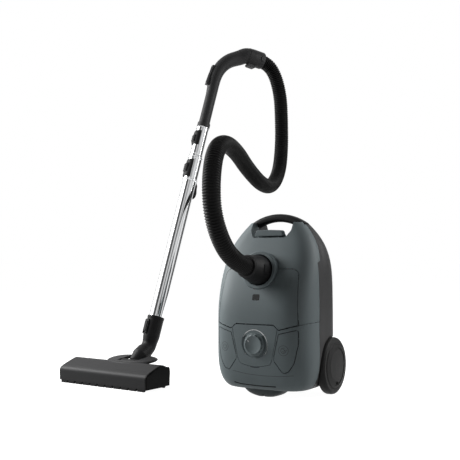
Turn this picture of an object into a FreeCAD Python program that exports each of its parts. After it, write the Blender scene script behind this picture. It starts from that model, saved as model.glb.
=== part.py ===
import FreeCAD, Part
import math
import os

# Bagged canister vacuum cleaner, parked upright on its rear end, with its hose, handle,
# telescopic wand and floor head. Millimetres. X to the canister's right, Y towards its back,
# Z up. The origin is the centre of the standing foot's sole.

# ---- driving dimensions -------------------------------------------------------------------

wall = 3.0                     # moulded shell wall
gap = 0.8                      # shut line between neighbouring covers
free_play = 0.4                # clearance round moving plastic parts
shaft_play = 0.05              # radial clearance of pins and shafts

body_bottom = 18.0             # underside of the parked body
body_top = 376.0               # tips of the two handle horns
body_power = 4.0               # squareness of the body's cross-section
seam_y = 21.0                  # plane between green front and dark back shell
seam_step_z = 287.0            # where the seam starts to run back to the handle
shoulder_z = 157.0             # shut line between hood and lower shell, above the facia
shoulder_half = 45.0           # half of its level stretch
shoulder_dip = 10.0            # it drops this far beside the facia,
shoulder_dip_half = 57.5       # at this distance from the middle,
shoulder_slope = 0.27          # and rises again round the flanks

foot_height = 27.0
foot_half_width = 49.0
foot_sole_half_width = 21.0
foot_sole_half_depth = 15.0

slot_half_width = 50.0         # opening under the carrying handle
slot_foot_half = 40.0
slot_floor = 342.0
slot_corner = 9.0
hollow_top = 346.0             # the two horns are solid above this height

bar_rise = 20.0                # carrying handle arch
bar_half_span = 64.0
bar_end_z = 367.0
bar_y = 60.0
bar_thick = 18.0
bar_depth = 25.0

inlet_y = -39.0                # centre of the collar's front ring
inlet_z = 272.0
inlet_tilt = 9.0               # rise of the inlet axis, degrees
collar_radius = 41.0
collar_length = 52.0
collar_lip = 7.0
spigot_radius = 19.5
spigot_wall = 2.5
cuff_radius = 31.0
cuff_end_radius = 24.5
cuff_length = 43.0
cuff_socket = 16.0
button_press = 1.5             # travel of the finger buttons

hatch_foot_half = 97.0         # half width at the hatch's foot
hatch_top_half = 87.5          # and at its rounded top corners
hatch_top = 274.0
hatch_corner = 16.0
hatch_foot_gap = 1.3           # room for the foot to swing past the facia
hatch_pin_depth = 6.0          # hinge pin behind the front skin
hatch_pin_z = 174.5
hatch_pin_radius = 1.5
hatch_pin_half = 47.0
bracket_x = 37.5               # middle of each hinge bracket
bracket_thick = 3.0
bracket_reach = 19.0           # from the pin back to the bracket's post, past the hatch's foot

panel_shoulder_half = 54.0     # facia's half width just under the shoulder line
panel_foot_half = 40.5         # and where its foot begins
panel_foot_z = 84.0
panel_sole_z = 65.5            # tip of the arc that closes its foot
pedal_top_z = 138.0            # inner top corner of a foot pedal
pedal_inner_top = 57.5
pedal_inner_foot = 44.6
pedal_outer = 95.5
pedal_foot_z = 58.5

knob_radius = 25.0
knob_z = 115.0
knob_proud = 7.0
knob_depth = 16.0
board_depth = 19.0             # front of the speed board behind the facia's skin

window_z = 214.0
window_width = 17.0
window_height = 13.0

latch_half_width = 34.5
latch_z = 351.6
latch_height = 12.6
latch_press = 2.5
latch_stem_radius = 4.0

wheel_radius = 62.0
wheel_y = 90.0
wheel_inner = 102.0            # inner face of the tyre, from the middle plane
tyre_width = 20.0
tyre_depth = 12.0
disc_bulge = 6.0
lobe_radius = 41.0             # wavy field recessed in the disc
lobe_wave = 1.8
axle_radius = 5.0

bulkhead_z = 148.0
motor_x = 36.0
motor_y = 42.0
motor_radius = 46.0
motor_foot = 44.0
motor_height = 84.0
reel_x = -66.0
reel_radius = 50.0
reel_width = 34.0

castor_z = 322.0
castor_wheel_radius = 12.0
castor_trail = 13.0

hose_radius = 19.0
hose_wall = 2.5

wand_lean = 19.2               # from the vertical, degrees
lower_tube_radius = 17.5
upper_tube_radius = 16.0
tube_wall = 1.0
tube_stroke = 250.0
grip_radius = 14.6
grip_wall = 2.5
grip_swell = 6.6               # growth in radius up to the hose sleeve

bend_x = -352.8                # where the wand's axis meets the neck's
bend_y = 44.7
bend_z = 79.0
wand_heading = 80.5            # plan direction of the lean, degrees from X

head_x = -381.8                # middle of the floor head's front edge
head_y = -99.3
head_turn = -4.0               # its long edge from X, degrees
head_length = 276.0
head_depth = 85.0
head_height = 54.0
head_wall = 2.5
head_brow = 27.0               # top of the upright nose
hinge_v = 82.0                 # tilt axis, in the floor head's own frame
hinge_z = 44.0
tilt_pin_radius = 4.0
neck_radius = 18.0
barrel_radius = 13.0

# the hose's route, from the inlet cuff to the handle
hose_route = [
    (0, -88.0, 279.8), (0, -124.0, 285.5), (0, -182.0, 318.0), (-2, -219.0, 380.0),
    (-8, -216.0, 452.0), (-20, -180.0, 518.0), (-50, -92.0, 543.0), (-84, 14.0, 536.0),
    (-112, 108.0, 511.0), (-134, 222.0, 480.0), (-160, 326.0, 485.0), (-182, 410.0, 534.0),
    (-189, 438.0, 608.0), (-190, 439.0, 684.0), (-193, 438.0, 752.0), (-203, 424.0, 810.0),
    (-217.5, 400.5, 838.3), (-236.0, 371.0, 845.5),
]

# ---- small helpers ------------------------------------------------------------------------

V = FreeCAD.Vector
X_AXIS = V(1, 0, 0)
Y_AXIS = V(0, 1, 0)
Z_AXIS = V(0, 0, 1)


def save(name, shape):
    os.makedirs("parts", exist_ok=True)
    shape.exportStep("parts/" + name + ".step")


def placed(shape, frame):
    moved = shape.copy()
    moved.Placement = frame.multiply(moved.Placement)
    return moved


def box(x0, x1, y0, y1, z0, z1):
    return Part.makeBox(x1 - x0, y1 - y0, z1 - z0, V(x0, y0, z0))


def round_box(x0, x1, y0, y1, z0, z1, radius, direction="z"):
    solid = box(x0, x1, y0, y1, z0, z1)
    along = {"x": X_AXIS, "y": Y_AXIS, "z": Z_AXIS}[direction]
    edges = [e for e in solid.Edges if abs(e.tangentAt(e.FirstParameter).dot(along)) > 0.99]
    return solid.makeFillet(radius, edges)


def cylinder(radius, start, end):
    axis = end - start
    return Part.makeCylinder(radius, axis.Length, start, axis)


def tube(outer, inner, start, end):
    return cylinder(outer, start, end).cut(cylinder(inner, start, end))


def turned(profile, frame=None):
    """A solid of revolution about local Z from (radius, height) points."""
    points = [V(r, 0, h) for r, h in profile]
    face = Part.Face(Part.makePolygon(points + [points[0]]))
    solid = face.revolve(V(0, 0, 0), Z_AXIS, 360)
    return placed(solid, frame) if frame else solid


def squircle(half_x, half_y, centre, power, count=24):
    """A closed smooth curve between an ellipse and a rectangle, in a level plane."""
    points = []
    for i in range(count):
        angle = 2 * math.pi * i / count
        c, s = math.cos(angle), math.sin(angle)
        reach = (abs(c / half_x) ** power + abs(s / half_y) ** power) ** (-1 / power)
        points.append(centre + V(reach * c, reach * s, 0))
    curve = Part.BSplineCurve()
    curve.interpolate(points, True)
    return Part.Wire(curve.toShape())


def axis_frame(origin, direction, x_hint):
    """A frame whose local Z is direction and whose local X is near x_hint."""
    z = V(direction).normalize()
    y = z.cross(x_hint).normalize()
    x = y.cross(z)
    matrix = FreeCAD.Matrix(x.x, y.x, z.x, origin.x, x.y, y.y, z.y, origin.y,
                            x.z, y.z, z.z, origin.z, 0, 0, 0, 1)
    return FreeCAD.Placement(matrix)


def swept(route, radius, bore=0.0):
    """A round tube along a smooth curve."""
    start = route.value(route.FirstParameter)
    tangent = route.tangent(route.FirstParameter)[0]
    path = Part.Wire(route.toShape())

    def run(r):
        ring = Part.Wire(Part.makeCircle(r, start, tangent))
        return path.makePipeShell([ring], True, False)

    solid = run(radius)
    return solid.cut(run(bore)) if bore else solid


# ---- canister body form -------------------------------------------------------------------

# height, half width, middle of the depth, half depth
body_stations = [
    (body_bottom, 93.0, 39.0, 72.0), (30.0, 104.0, 40.0, 85.0), (54.0, 112.5, 40.5, 93.0),
    (110.0, 115.5, 41.0, 97.5), (190.0, 115.5, 41.0, 95.5), (245.0, 115.0, 46.5, 85.5),
    (300.0, 110.0, 54.5, 68.0), (345.0, 90.0, 59.0, 49.0), (body_top, 63.0, 60.0, 34.0),
]


def body_form(inset=0.0, top=None):
    """The body's outer form, or the same form set in by a wall."""
    wires = []
    for z, half_x, mid_y, half_y in body_stations:
        if top and z > top:
            break
        level = z + inset if z == body_bottom else z
        wires.append(squircle(half_x - inset, half_y - inset, V(0, mid_y, level), body_power))
    return Part.makeLoft(wires, True, False)


def front_y(z):
    """Y of the body's front on the middle plane, at a height."""
    below = [s for s in body_stations if s[0] <= z][-1]
    above = [s for s in body_stations if s[0] > z][0]
    share = (z - below[0]) / (above[0] - below[0])
    return (below[2] - below[3]) * (1 - share) + (above[2] - above[3]) * share


inlet_rise = math.radians(inlet_tilt)
inlet_axis = V(0, -math.cos(inlet_rise), math.sin(inlet_rise))
inlet_centre = V(0, inlet_y, inlet_z)
inlet_frame = axis_frame(inlet_centre, inlet_axis, X_AXIS)


def on_inlet(radius, start, end):
    return placed(Part.makeCylinder(radius, end - start, V(0, 0, start)), inlet_frame)


def seam_front(shift=0.0):
    """Everything in front of the seam between the green and the dark shell."""
    lean = (bar_y - seam_y - 12.0) / (body_top - seam_step_z)
    y = seam_y + shift
    top = y + 12.0 + lean * (body_top + 20 - seam_step_z)
    outline = [V(-200, -200, -50), V(-200, y, -50), V(-200, y, seam_step_z),
               V(-200, y + 12.0, seam_step_z + 5), V(-200, top, body_top + 20),
               V(-200, -200, body_top + 20)]
    return Part.Face(Part.makePolygon(outline + [outline[0]])).extrude(V(400, 0, 0))


def above_shoulder(shift=0.0):
    """Everything above the shoulder line, which dips on both sides of the facia."""
    z = shoulder_z + shift
    low = z - shoulder_dip
    flank = low + shoulder_slope * (200 - shoulder_dip_half)
    outline = [V(-200, -200, 500), V(-200, -200, flank), V(-shoulder_dip_half, -200, low),
               V(-shoulder_half, -200, z), V(shoulder_half, -200, z),
               V(shoulder_dip_half, -200, low), V(200, -200, flank), V(200, -200, 500)]
    return Part.Face(Part.makePolygon(outline + [outline[0]])).extrude(V(0, 500, 0))


def hand_slot(grow=0.0):
    """The opening under the carrying handle, right through the body."""
    foot, half = slot_foot_half + grow, slot_half_width + grow
    floor = slot_floor - grow
    shoulder = slot_floor + 1.6 * (slot_half_width - slot_foot_half)
    top = body_top + 60
    points = [V(-foot, -120, floor), V(foot, -120, floor), V(half, -120, shoulder),
              V(half, -120, top), V(-half, -120, top), V(-half, -120, shoulder)]
    solid = Part.Face(Part.makePolygon(points + [points[0]])).extrude(V(0, 340, 0))
    edges = [e for e in solid.Edges if abs(e.tangentAt(e.FirstParameter).y) > 0.99
             and e.CenterOfMass.z < shoulder + 6]
    return solid.makeFillet(slot_corner, edges)


def rounded_polygon(corners):
    """A closed outline in the XZ plane, from (x, z, corner radius)."""
    points = [V(x, -140, z) for x, z, radius in corners]
    arcs = []
    for i, point in enumerate(points):
        before = (point - points[i - 1]).normalize()
        after = (points[(i + 1) % len(points)] - point).normalize()
        half_turn = before.getAngle(after) / 2
        radius = corners[i][2]
        trim = radius * math.tan(half_turn)
        inward = (after - before).normalize()
        middle = point + inward * (radius / math.cos(half_turn) - radius)
        arcs.append((point - before * trim, middle, point + after * trim))
    edges = []
    for i, (start, middle, end) in enumerate(arcs):
        edges.append(Part.Arc(start, middle, end).toShape())
        edges.append(Part.LineSegment(end, arcs[(i + 1) % len(arcs)][0]).toShape())
    return Part.Wire(edges)


def front_prism(corners, grow=0.0):
    """A rounded outline, pushed through the front of the body."""
    wire = rounded_polygon(corners)
    if grow:
        wire = wire.makeOffset2D(grow)
    return Part.Face(wire).extrude(V(0, 146, 0))


def both_sides(corners):
    """The corners of a symmetric outline, from those of its right half, top to bottom."""
    return corners + [(-x, z, radius) for x, z, radius in reversed(corners)]


def hatch_prism(grow=0.0):
    """The hatch's front outline; its foot is cut off later along the shoulder line."""
    return front_prism(both_sides([(hatch_top_half, hatch_top, hatch_corner),
                                   (hatch_top_half + 5, hatch_top - 62, 90),
                                   (hatch_foot_half, shoulder_z - 40, 3)]), grow)


def wheel_well():
    wells = []
    for side in (-1, 1):
        start = V(side * (wheel_inner - 4), wheel_y, wheel_radius)
        wells.append(cylinder(wheel_radius + 4, start, start + V(side * 60, 0, 0)))
    return wells[0].fuse(wells[1])


def wheel_well_walls():
    """Inner walls that close the body round the two wheel wells."""
    pieces = []
    for side in (-1, 1):
        start = V(side * (wheel_inner - 4 - wall), wheel_y, wheel_radius)
        pieces.append(cylinder(wheel_radius + 4 + wall, start, start + V(side * 60, 0, 0)))
    return pieces[0].fuse(pieces[1])


def pedal_prism(side, grow=0.0):
    """Front outline of one foot pedal beside the facia."""
    top, foot, out = pedal_top_z, pedal_foot_z, pedal_outer
    corners = [(pedal_inner_top, top, 3), (out, top + 9.5, 4), (out, top - 18, 60),
               (out - 8, foot + 21.5, 25), (out - 19.5, foot + 3.5, 9), (out - 30.5, foot, 5),
               (pedal_inner_foot, foot + 26.7, 5)]
    return front_prism([(side * x, z, radius) for x, z, radius in corners], grow)


def facia_prism(grow=0.0):
    """The dial's panel: the shoulder line above, an arc below."""
    drop = (panel_shoulder_half - shoulder_half) / (shoulder_dip_half - shoulder_half)
    top = shoulder_z - gap
    corners = both_sides([(shoulder_half, top, 2),
                          (panel_shoulder_half, top - drop * shoulder_dip, 3),
                          (panel_foot_half, panel_foot_z, 9),
                          (panel_foot_half - 4.5, panel_foot_z - 9.5, 4)])
    corners.insert(4, (0, panel_sole_z, 100))
    return front_prism(corners, grow)


outer_form = body_form()
inner_form = body_form(wall, hollow_top).cut(hand_slot(wall))
shell = outer_form.cut(inner_form).cut(hand_slot())


# ---- carrying handle ----------------------------------------------------------------------

def carry_handle_form(grow=0.0):
    start = V(-bar_half_span, bar_y, bar_end_z)
    crown = V(0, bar_y, bar_end_z + bar_rise)
    end = V(bar_half_span, bar_y, bar_end_z)
    path = Part.Wire(Part.Arc(start, crown, end).toShape())
    tangent = path.Edges[0].tangentAt(path.Edges[0].FirstParameter)
    frame = axis_frame(start, tangent, Y_AXIS)
    ring = squircle(bar_depth / 2 + grow, bar_thick / 2 + grow, V(0, 0, 0), 2.6, 16)
    ring.Placement = frame.multiply(ring.Placement)
    return path.makePipeShell([ring], True, False)


def build_covers():
    handle = carry_handle_form()
    front = seam_front()
    upper = above_shoulder()
    collar_bore = on_inlet(collar_radius + 0.2, -120, 60)
    hood = shell.common(front).common(upper).cut(hatch_prism(gap)).cut(collar_bore)
    hood = hood.cut(handle)
    for x in (-latch_stem_x, latch_stem_x):
        foot = V(x, latch_y(), latch_foot - latch_press - free_play)
        guide = cylinder(latch_stem_radius + free_play + 2, foot, V(x, latch_y(), slot_floor - 1))
        bore = cylinder(latch_stem_radius + free_play, foot - V(0, 0, 1), foot + V(0, 0, 60))
        hood = hood.fuse(guide.common(outer_form)).cut(bore)
    save("hood", hood)

    lower = shell.common(front).cut(above_shoulder(-gap)).cut(facia_prism(gap))
    for side in (-1, 1):
        lower = lower.cut(pedal_prism(side, gap)).fuse(pedal_guide(side))
    save("lower_shell", lower.cut(foot_form()))

    well_walls = wheel_well_walls().common(outer_form)
    back = shell.cut(seam_front(gap)).fuse(well_walls.cut(seam_front(gap)))
    back = back.cut(wheel_well()).cut(handle).cut(grille_opening())
    y = back_y(castor_z)
    back = back.fuse(cylinder(9, V(0, y - 14, castor_z), V(0, y + 4, castor_z)))
    back = back.cut(castor_socket_bore()).cut(cord_outlet_bore())
    for side in (-1, 1):
        start = V(side * (wheel_inner - 4), wheel_y, wheel_radius)
        back = back.fuse(cylinder(axle_radius + 5, start, start - V(side * 14, 0, 0)))
    for axle in wheel_axle_solids():
        back = back.cut(axle)
    back = back.fuse(filter_frame()).fuse(motor_seat())
    save("base_shell", back.cut(foot_form()))
    save("carry_handle", handle)


# ---- standing foot ------------------------------------------------------------------------

def foot_form():
    low = squircle(foot_sole_half_width, foot_sole_half_depth, V(0, 0, 0), 3.0, 16)
    rim = squircle(foot_half_width, 28.0, V(0, 0, foot_height * 0.55), 3.0, 16)
    top = squircle(foot_half_width + 3, 36.0, V(0, 4, foot_height), 3.0, 16)
    return Part.makeLoft([low, rim, top], True, False)


def build_foot():
    foot = foot_form()
    notch = round_box(-3.5, 3.5, -60, -11, -5, 5, 2, "y")
    save("standing_foot", foot.cut(notch))


# ---- inlet --------------------------------------------------------------------------------

def build_inlet():
    back = -collar_length - 4
    ring = turned([(collar_radius, back), (collar_radius, -1.5),
                   (collar_radius - 2, 0), (collar_radius - collar_lip, 0),
                   (collar_radius - collar_lip - 1, -2), (cuff_radius + 1, -collar_length),
                   (spigot_radius, -collar_length), (spigot_radius, back)], inlet_frame)
    keep = outer_form.fuse(on_inlet(collar_radius + 1, -30, 2))
    save("inlet_collar", ring.common(keep))

    spigot_end = cuff_length + 2.0
    spigot = turned([(spigot_radius, -84), (spigot_radius, spigot_end),
                     (spigot_radius - spigot_wall, spigot_end),
                     (spigot_radius - spigot_wall, -84)], inlet_frame)
    save("inlet_spigot", spigot)

    bore = spigot_radius + free_play
    hose_bore = hose_radius + free_play
    step = spigot_end + 2 * free_play
    end = cuff_length + cuff_socket - 4
    cuff = turned([(bore, -24), (cuff_radius, -24), (cuff_radius, 2), (cuff_radius - 1, 12),
                   (cuff_radius - 2, 24), (cuff_end_radius + 1.5, cuff_length - 4),
                   (cuff_end_radius, end - 4), (cuff_end_radius - 2, end),
                   (hose_bore, end), (hose_bore, step), (bore, step)], inlet_frame)
    for side in (-1, 1):
        pocket = cuff_button_form(side, free_play)
        cuff = cuff.cut(pocket)
    save("inlet_cuff", cuff)
    for side, name in ((-1, "cuff_button_left"), (1, "cuff_button_right")):
        save(name, cuff_button_form(side))


def cuff_button_form(side, grow=0.0):
    """A finger pad set in the cuff's flank; its pocket leaves room to press it."""
    depth = grow + (button_press if grow else 0.0)
    pad = round_box(24.5 - depth, 32.0, -9 - grow, 9 + grow, 5 - grow, 25 + grow, 3.5, "x")
    if side < 0:
        pad = pad.mirror(V(0, 0, 0), X_AXIS)
    if grow == 0.0:
        keep = Part.makeCylinder(cuff_radius - 0.6, 60, V(0, 0, -20))
        pad = pad.common(keep)
    return placed(pad, inlet_frame)


# ---- hatch, window, latch -----------------------------------------------------------------

def hatch_pin_y():
    return front_y(hatch_pin_z) + hatch_pin_depth


def hatch_pin(grow=0.0):
    y = hatch_pin_y()
    return cylinder(hatch_pin_radius + grow, V(-hatch_pin_half, y, hatch_pin_z),
                    V(hatch_pin_half, y, hatch_pin_z))


def hatch_bracket(side):
    """Steel arm from the bulkhead's edge, over the hatch's swinging foot, to its pin."""
    y, z = hatch_pin_y(), hatch_pin_z
    eye = hatch_pin_radius + 1.3
    back = y + bracket_reach
    x = side * bracket_x - bracket_thick / 2
    outline = [V(x, y - eye, z + 4), V(x, y - eye, z), V(x, y, z - eye + 0.6),
               V(x, back, z - 2), V(x, back, bulkhead_z), V(x, back + 5, bulkhead_z),
               V(x, back + 5, z + 2), V(x, back + 3, z + 4)]
    arm = Part.Face(Part.makePolygon(outline + [outline[0]])).extrude(V(bracket_thick, 0, 0))
    flange = box(x - 6, x + bracket_thick + 6, back, back + 13, bulkhead_z, bulkhead_z + 2)
    return arm.fuse(flange)


def flag_frame():
    """Behind the window, with local Z up the slope of the hatch."""
    rise = 14.0
    slope = V(0, front_y(window_z + rise) - front_y(window_z - rise), 2 * rise)
    return axis_frame(V(0, front_y(window_z) + wall + 2.0, window_z), slope, X_AXIS)


def flag_rails():
    """Two channels that guide the flag, in its own frame."""
    rails = None
    for side in (-1, 1):
        x0, x1 = sorted((side * 7.6, side * 10.0))
        rail = box(x0, x1, -7, 3.6, -34, -9)
        x0, x1 = sorted((side * 5.0, side * 10.0))
        rail = rail.fuse(box(x0, x1, 2.4, 3.6, -34, -9))
        rails = rail if rails is None else rails.fuse(rail)
    return rails


def build_hatch():
    collar_hole = on_inlet(collar_radius + gap, -120, 60)
    panel = shell.common(hatch_prism()).common(above_shoulder(hatch_foot_gap)).cut(collar_hole)
    rails = placed(flag_rails(), flag_frame()).common(outer_form)
    panel = panel.fuse(rails).cut(window_prism())
    y = hatch_pin_y()
    barrel_start = bracket_x + bracket_thick / 2 + gap
    for side in (-1, 1):
        x0, x1 = sorted((side * barrel_start, side * hatch_pin_half))
        barrel = cylinder(4.2, V(x0, y, hatch_pin_z), V(x1, y, hatch_pin_z))
        panel = panel.fuse(barrel.common(outer_form))
    save("hatch_panel", panel.cut(hatch_pin(shaft_play)))
    save("hatch_hinge_pin", hatch_bracket(-1).fuse(hatch_bracket(1)).fuse(hatch_pin()))
    rim = body_form(wall, hollow_top).cut(body_form(wall + 4.0, hollow_top))
    band = hatch_prism(-3).cut(hatch_prism(-8)).cut(on_inlet(collar_radius + 4, -120, 60))
    seal = rim.common(band).common(box(-150, 150, -140, 0, hatch_pin_z + 8, 400))
    save("hatch_seal", seal)
    save("indicator_lens", shell.common(window_prism(0.0)))


def window_prism(grow=0.0):
    half = window_width / 2 + grow
    return round_box(-half, half, -140, 0, window_z - window_height / 2 - grow,
                     window_z + window_height / 2 + grow, 2.5, "y")


def build_flag():
    flag = round_box(-7.2, 7.2, 0.4, 2.0, -36, -8, 1.2, "y")
    save("indicator_flag", placed(flag, flag_frame()))


latch_stem_x = 20.0
latch_foot = slot_floor - 15.0


def latch_y():
    return front_y(latch_z) + 4.0


def build_latch():
    """Catch pad under the carrying handle, on two stems that run down into the hood."""
    y = front_y(latch_z)
    low = latch_z - latch_height / 2
    top = latch_z + latch_height / 2
    half = latch_half_width
    outline = rounded_polygon([(half, low, 2), (-half, low, 2), (3 - half, top, 6),
                               (0, top + 1.5, 250), (half - 3, top, 6)])
    tab = Part.Face(outline).extrude(V(0, 14, 0)).translated(V(0, 140 + y - 5, 0))
    lip = [e for e in tab.Edges if e.BoundBox.YMax < y - 4.9]
    tab = tab.makeFillet(1.5, lip)
    for x in (-latch_stem_x, latch_stem_x):
        tab = tab.fuse(cylinder(latch_stem_radius, V(x, latch_y(), latch_foot),
                                V(x, latch_y(), low + 2)))
    save("latch_tab", tab)


# ---- facia, dial, pedals ------------------------------------------------------------------

def dial_frame():
    return axis_frame(V(0, front_y(knob_z), knob_z), V(0, -1, 0), X_AXIS)


def build_facia():
    frame = dial_frame()
    dish = placed(Part.makeCone(knob_radius + 7, knob_radius + 3, 3.0, V(0, 0, 1.0),
                                V(0, 0, -1)), frame)
    shaft_hole = placed(Part.makeCylinder(5 + free_play, 40, V(0, 0, -30)), frame)
    facia = outer_form.cut(body_form(wall + 3.0, hollow_top)).common(facia_prism())
    facia = facia.cut(dish).cut(shaft_hole).cut(foot_form())
    for x, z in ((-32, 92), (32, 92), (-36, 132), (36, 132)):
        y = front_y(knob_z)
        facia = facia.fuse(cylinder(3, V(x, y + wall + 1, z), V(x, y + board_depth, z)))
    save("control_panel", facia)

    knob = turned([(0, -2 + free_play), (knob_radius, -2 + free_play),
                   (knob_radius - 0.8, knob_proud - 2), (knob_radius - 3, knob_proud),
                   (0, knob_proud)])
    for i in range(20):
        turn = FreeCAD.Placement(V(0, 0, 0), FreeCAD.Rotation(Z_AXIS, 18 * i))
        flute = Part.makeCylinder(1.1, knob_proud, V(knob_radius + 0.2, 0, 0.5))
        knob = knob.cut(placed(flute, turn))
    knob = knob.fuse(Part.makeCylinder(5, knob_depth, V(0, 0, -knob_depth)))
    save("dial_knob", placed(knob, frame))


pedal_stem_x = 66.0
pedal_stem_z = 92.0
pedal_stem_radius = 4.0


def pedal_guide(side):
    """A tube on a rib from the floor, round one foot pedal's stem."""
    y = front_y(80)
    x = side * pedal_stem_x
    ring = cylinder(pedal_stem_radius + 3, V(x, y + 14, pedal_stem_z),
                    V(x, y + 28, pedal_stem_z))
    rib = box(x - 1.5, x + 1.5, y + 14, y + 28, body_bottom + 1, pedal_stem_z - 2)
    bore = cylinder(pedal_stem_radius + free_play, V(x, y + 10, pedal_stem_z),
                    V(x, y + 40, pedal_stem_z))
    return rib.fuse(ring).cut(bore).common(outer_form)


def build_pedals():
    skin = outer_form.cut(body_form(wall + 2.0, hollow_top))
    for side, name in ((-1, "power_pedal"), (1, "rewind_pedal")):
        pedal = skin.common(pedal_prism(side)).cut(foot_form())
        y = front_y(80)
        x = side * pedal_stem_x
        stem = cylinder(pedal_stem_radius, V(x, y + 3, pedal_stem_z),
                        V(x, y + 24, pedal_stem_z))
        save(name, pedal.fuse(stem))


# ---- inside -------------------------------------------------------------------------------

def inner_slab(z0, z1, inset):
    return body_form(inset, hollow_top).common(box(-200, 200, -200, 300, z0, z1))


def build_inside():
    plate = inner_slab(bulkhead_z - 3, bulkhead_z, wall + 0.3)
    port = Part.makeCylinder(38, 20, V(motor_x, motor_y, bulkhead_z - 10))
    plate = plate.cut(port).cut(box(-200, 200, -200, -30, 0, 400))
    for i in range(5):
        x = motor_x - 36 + 18 * i
        plate = plate.fuse(box(x - 1, x + 1, motor_y - 40, motor_y + 40,
                               bulkhead_z - 3, bulkhead_z))
    save("motor_filter", round_box(motor_x - 44, motor_x + 44, motor_y - 44, motor_y + 44,
                                   bulkhead_z, bulkhead_z + 9, 8))

    frame = placed(round_box(-52, 52, -46, 46, -79, -75.5, 10), inlet_frame)
    frame = frame.cut(on_inlet(spigot_radius, -90, -60))
    save("bag_holder", frame)
    bag = Part.makeLoft([
        squircle(70, 36, V(0, 50, bulkhead_z + 16), 3.0, 16),
        squircle(88, 44, V(0, 50, bulkhead_z + 50), 3.0, 16),
        squircle(84, 34, V(0, 62, bulkhead_z + 110), 3.0, 16),
        squircle(60, 24, V(0, 68, bulkhead_z + 160), 3.0, 16)], True, False)
    behind = placed(box(-150, 150, -150, 150, -79, 200), inlet_frame)
    save("dust_bag", bag.cut(behind).cut(on_inlet(spigot_radius + free_play, -110, -60)))

    can = turned([(20, 0), (motor_radius, 0), (motor_radius, motor_height - 30),
                  (motor_radius + 4, motor_height - 28), (motor_radius + 4, motor_height),
                  (30, motor_height), (30, motor_height - 2.5), (motor_radius + 1.5,
                  motor_height - 2.5), (motor_radius + 1.5, motor_height - 26),
                  (motor_radius - 3, motor_height - 28), (motor_radius - 3, 3), (20, 3)])
    place = FreeCAD.Placement(V(motor_x, motor_y, motor_foot), FreeCAD.Rotation())
    save("motor_can", placed(can, place))
    bearing = 4.0
    shaft = cylinder(bearing, V(0, 0, 6), V(0, 0, motor_height - 6))
    core = cylinder(26, V(0, 0, 12), V(0, 0, motor_height - 36))
    save("motor_shaft", placed(shaft.fuse(core), place))
    fan = cylinder(14, V(0, 0, motor_height - 24), V(0, 0, motor_height - 8))
    fan = fan.fuse(cylinder(44, V(0, 0, motor_height - 24), V(0, 0, motor_height - 22)))
    for i in range(9):
        turn = FreeCAD.Placement(V(0, 0, 0), FreeCAD.Rotation(Z_AXIS, 40 * i))
        blade = box(12, 43, -1, 1, motor_height - 22.5, motor_height - 9)
        fan = fan.fuse(placed(blade, turn))
    fan = fan.cut(cylinder(bearing, V(0, 0, 0), V(0, 0, motor_height)))
    save("motor_fan", placed(fan, place))
    lower_ring = tube(motor_radius - 4, 22, V(0, 0, -12), V(0, 0, 0))
    upper_ring = tube(motor_radius, 32, V(0, 0, motor_height), V(0, 0, motor_height + 17.0))
    save("motor_mounts", placed(Part.makeCompound([lower_ring, upper_ring]), place))

    x0, x1 = reel_x - reel_width / 2, reel_x + reel_width / 2
    centre = V(0, motor_y + 2, 78)
    drum = cylinder(24, V(x0, 0, 0), V(x1, 0, 0))
    drum = drum.fuse(cylinder(reel_radius, V(x0, 0, 0), V(x0 + 2, 0, 0)))
    drum = drum.fuse(cylinder(reel_radius, V(x1 - 2, 0, 0), V(x1, 0, 0)))
    drum = drum.cut(cylinder(6 + shaft_play, V(x0 - 1, 0, 0), V(x1 + 1, 0, 0)))
    save("cord_reel", placed(drum, FreeCAD.Placement(centre, FreeCAD.Rotation())))
    arm = box(x1 + 3, x1 + 6, -16, 16, -12, bulkhead_z - 1 - centre.z)
    stub = cylinder(6, V(x0 - 4, 0, 0), V(x1 + 6, 0, 0))
    arm = placed(arm.fuse(stub), FreeCAD.Placement(centre, FreeCAD.Rotation()))
    save("bulkhead", plate.fuse(arm))

    y = front_y(knob_z) + board_depth
    board = box(-40, 40, y, y + 1.6, 84, 138)
    pot = box(-11, 11, y - 9, y, knob_z - 11, knob_z + 11)
    bore = placed(Part.makeCylinder(5 + shaft_play, 40, V(0, 0, -knob_depth - 1)),
                  dial_frame())
    save("control_board", board.fuse(pot.cut(bore)))


def grille_opening(grow=0.0):
    return round_box(-52 - grow, 52 + grow, 110, 160, 62 - grow, 132 + grow, 10, "y")


filter_front = 114.0


def filter_frame():
    """The tray inside the back shell that holds the exhaust filter."""
    rim = grille_opening(wall).cut(grille_opening())
    stop = round_box(-53, 53, filter_front - 3, filter_front, 61, 133, 10, "y")
    stop = stop.cut(round_box(-46, 46, 100, 150, 68, 126, 6, "y"))
    tray = rim.common(box(-100, 100, filter_front - 3, 200, 0, 200)).fuse(stop)
    return tray.common(body_form(wall - 1.0, hollow_top))


def motor_seat():
    """A ring on the back shell's floor under the motor's lower mount."""
    ring = tube(motor_radius - 4, 24, V(motor_x, motor_y, body_bottom + 1),
                V(motor_x, motor_y, motor_foot - 12))
    return ring.common(box(-200, 200, seam_y + gap, 200, 0, 200)).common(outer_form)


def build_exhaust():
    plate = shell.common(grille_opening())
    for i in range(8):
        z = 68.5 + 8 * i
        plate = plate.cut(round_box(-45, 45, 100, 160, z, z + 3.5, 1.6, "y"))
    save("exhaust_grille", plate)
    save("exhaust_filter", grille_opening(-0.2).common(
        box(-100, 100, filter_front, filter_front + 16, 0, 200)))


# ---- wheels -------------------------------------------------------------------------------

def wheel_axle_solids():
    axles = []
    for side in (-1, 1):
        start = V(side * (wheel_inner - 16), wheel_y, wheel_radius)
        axles.append(cylinder(axle_radius, start, start + V(side * 32, 0, 0)))
    return axles


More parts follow.
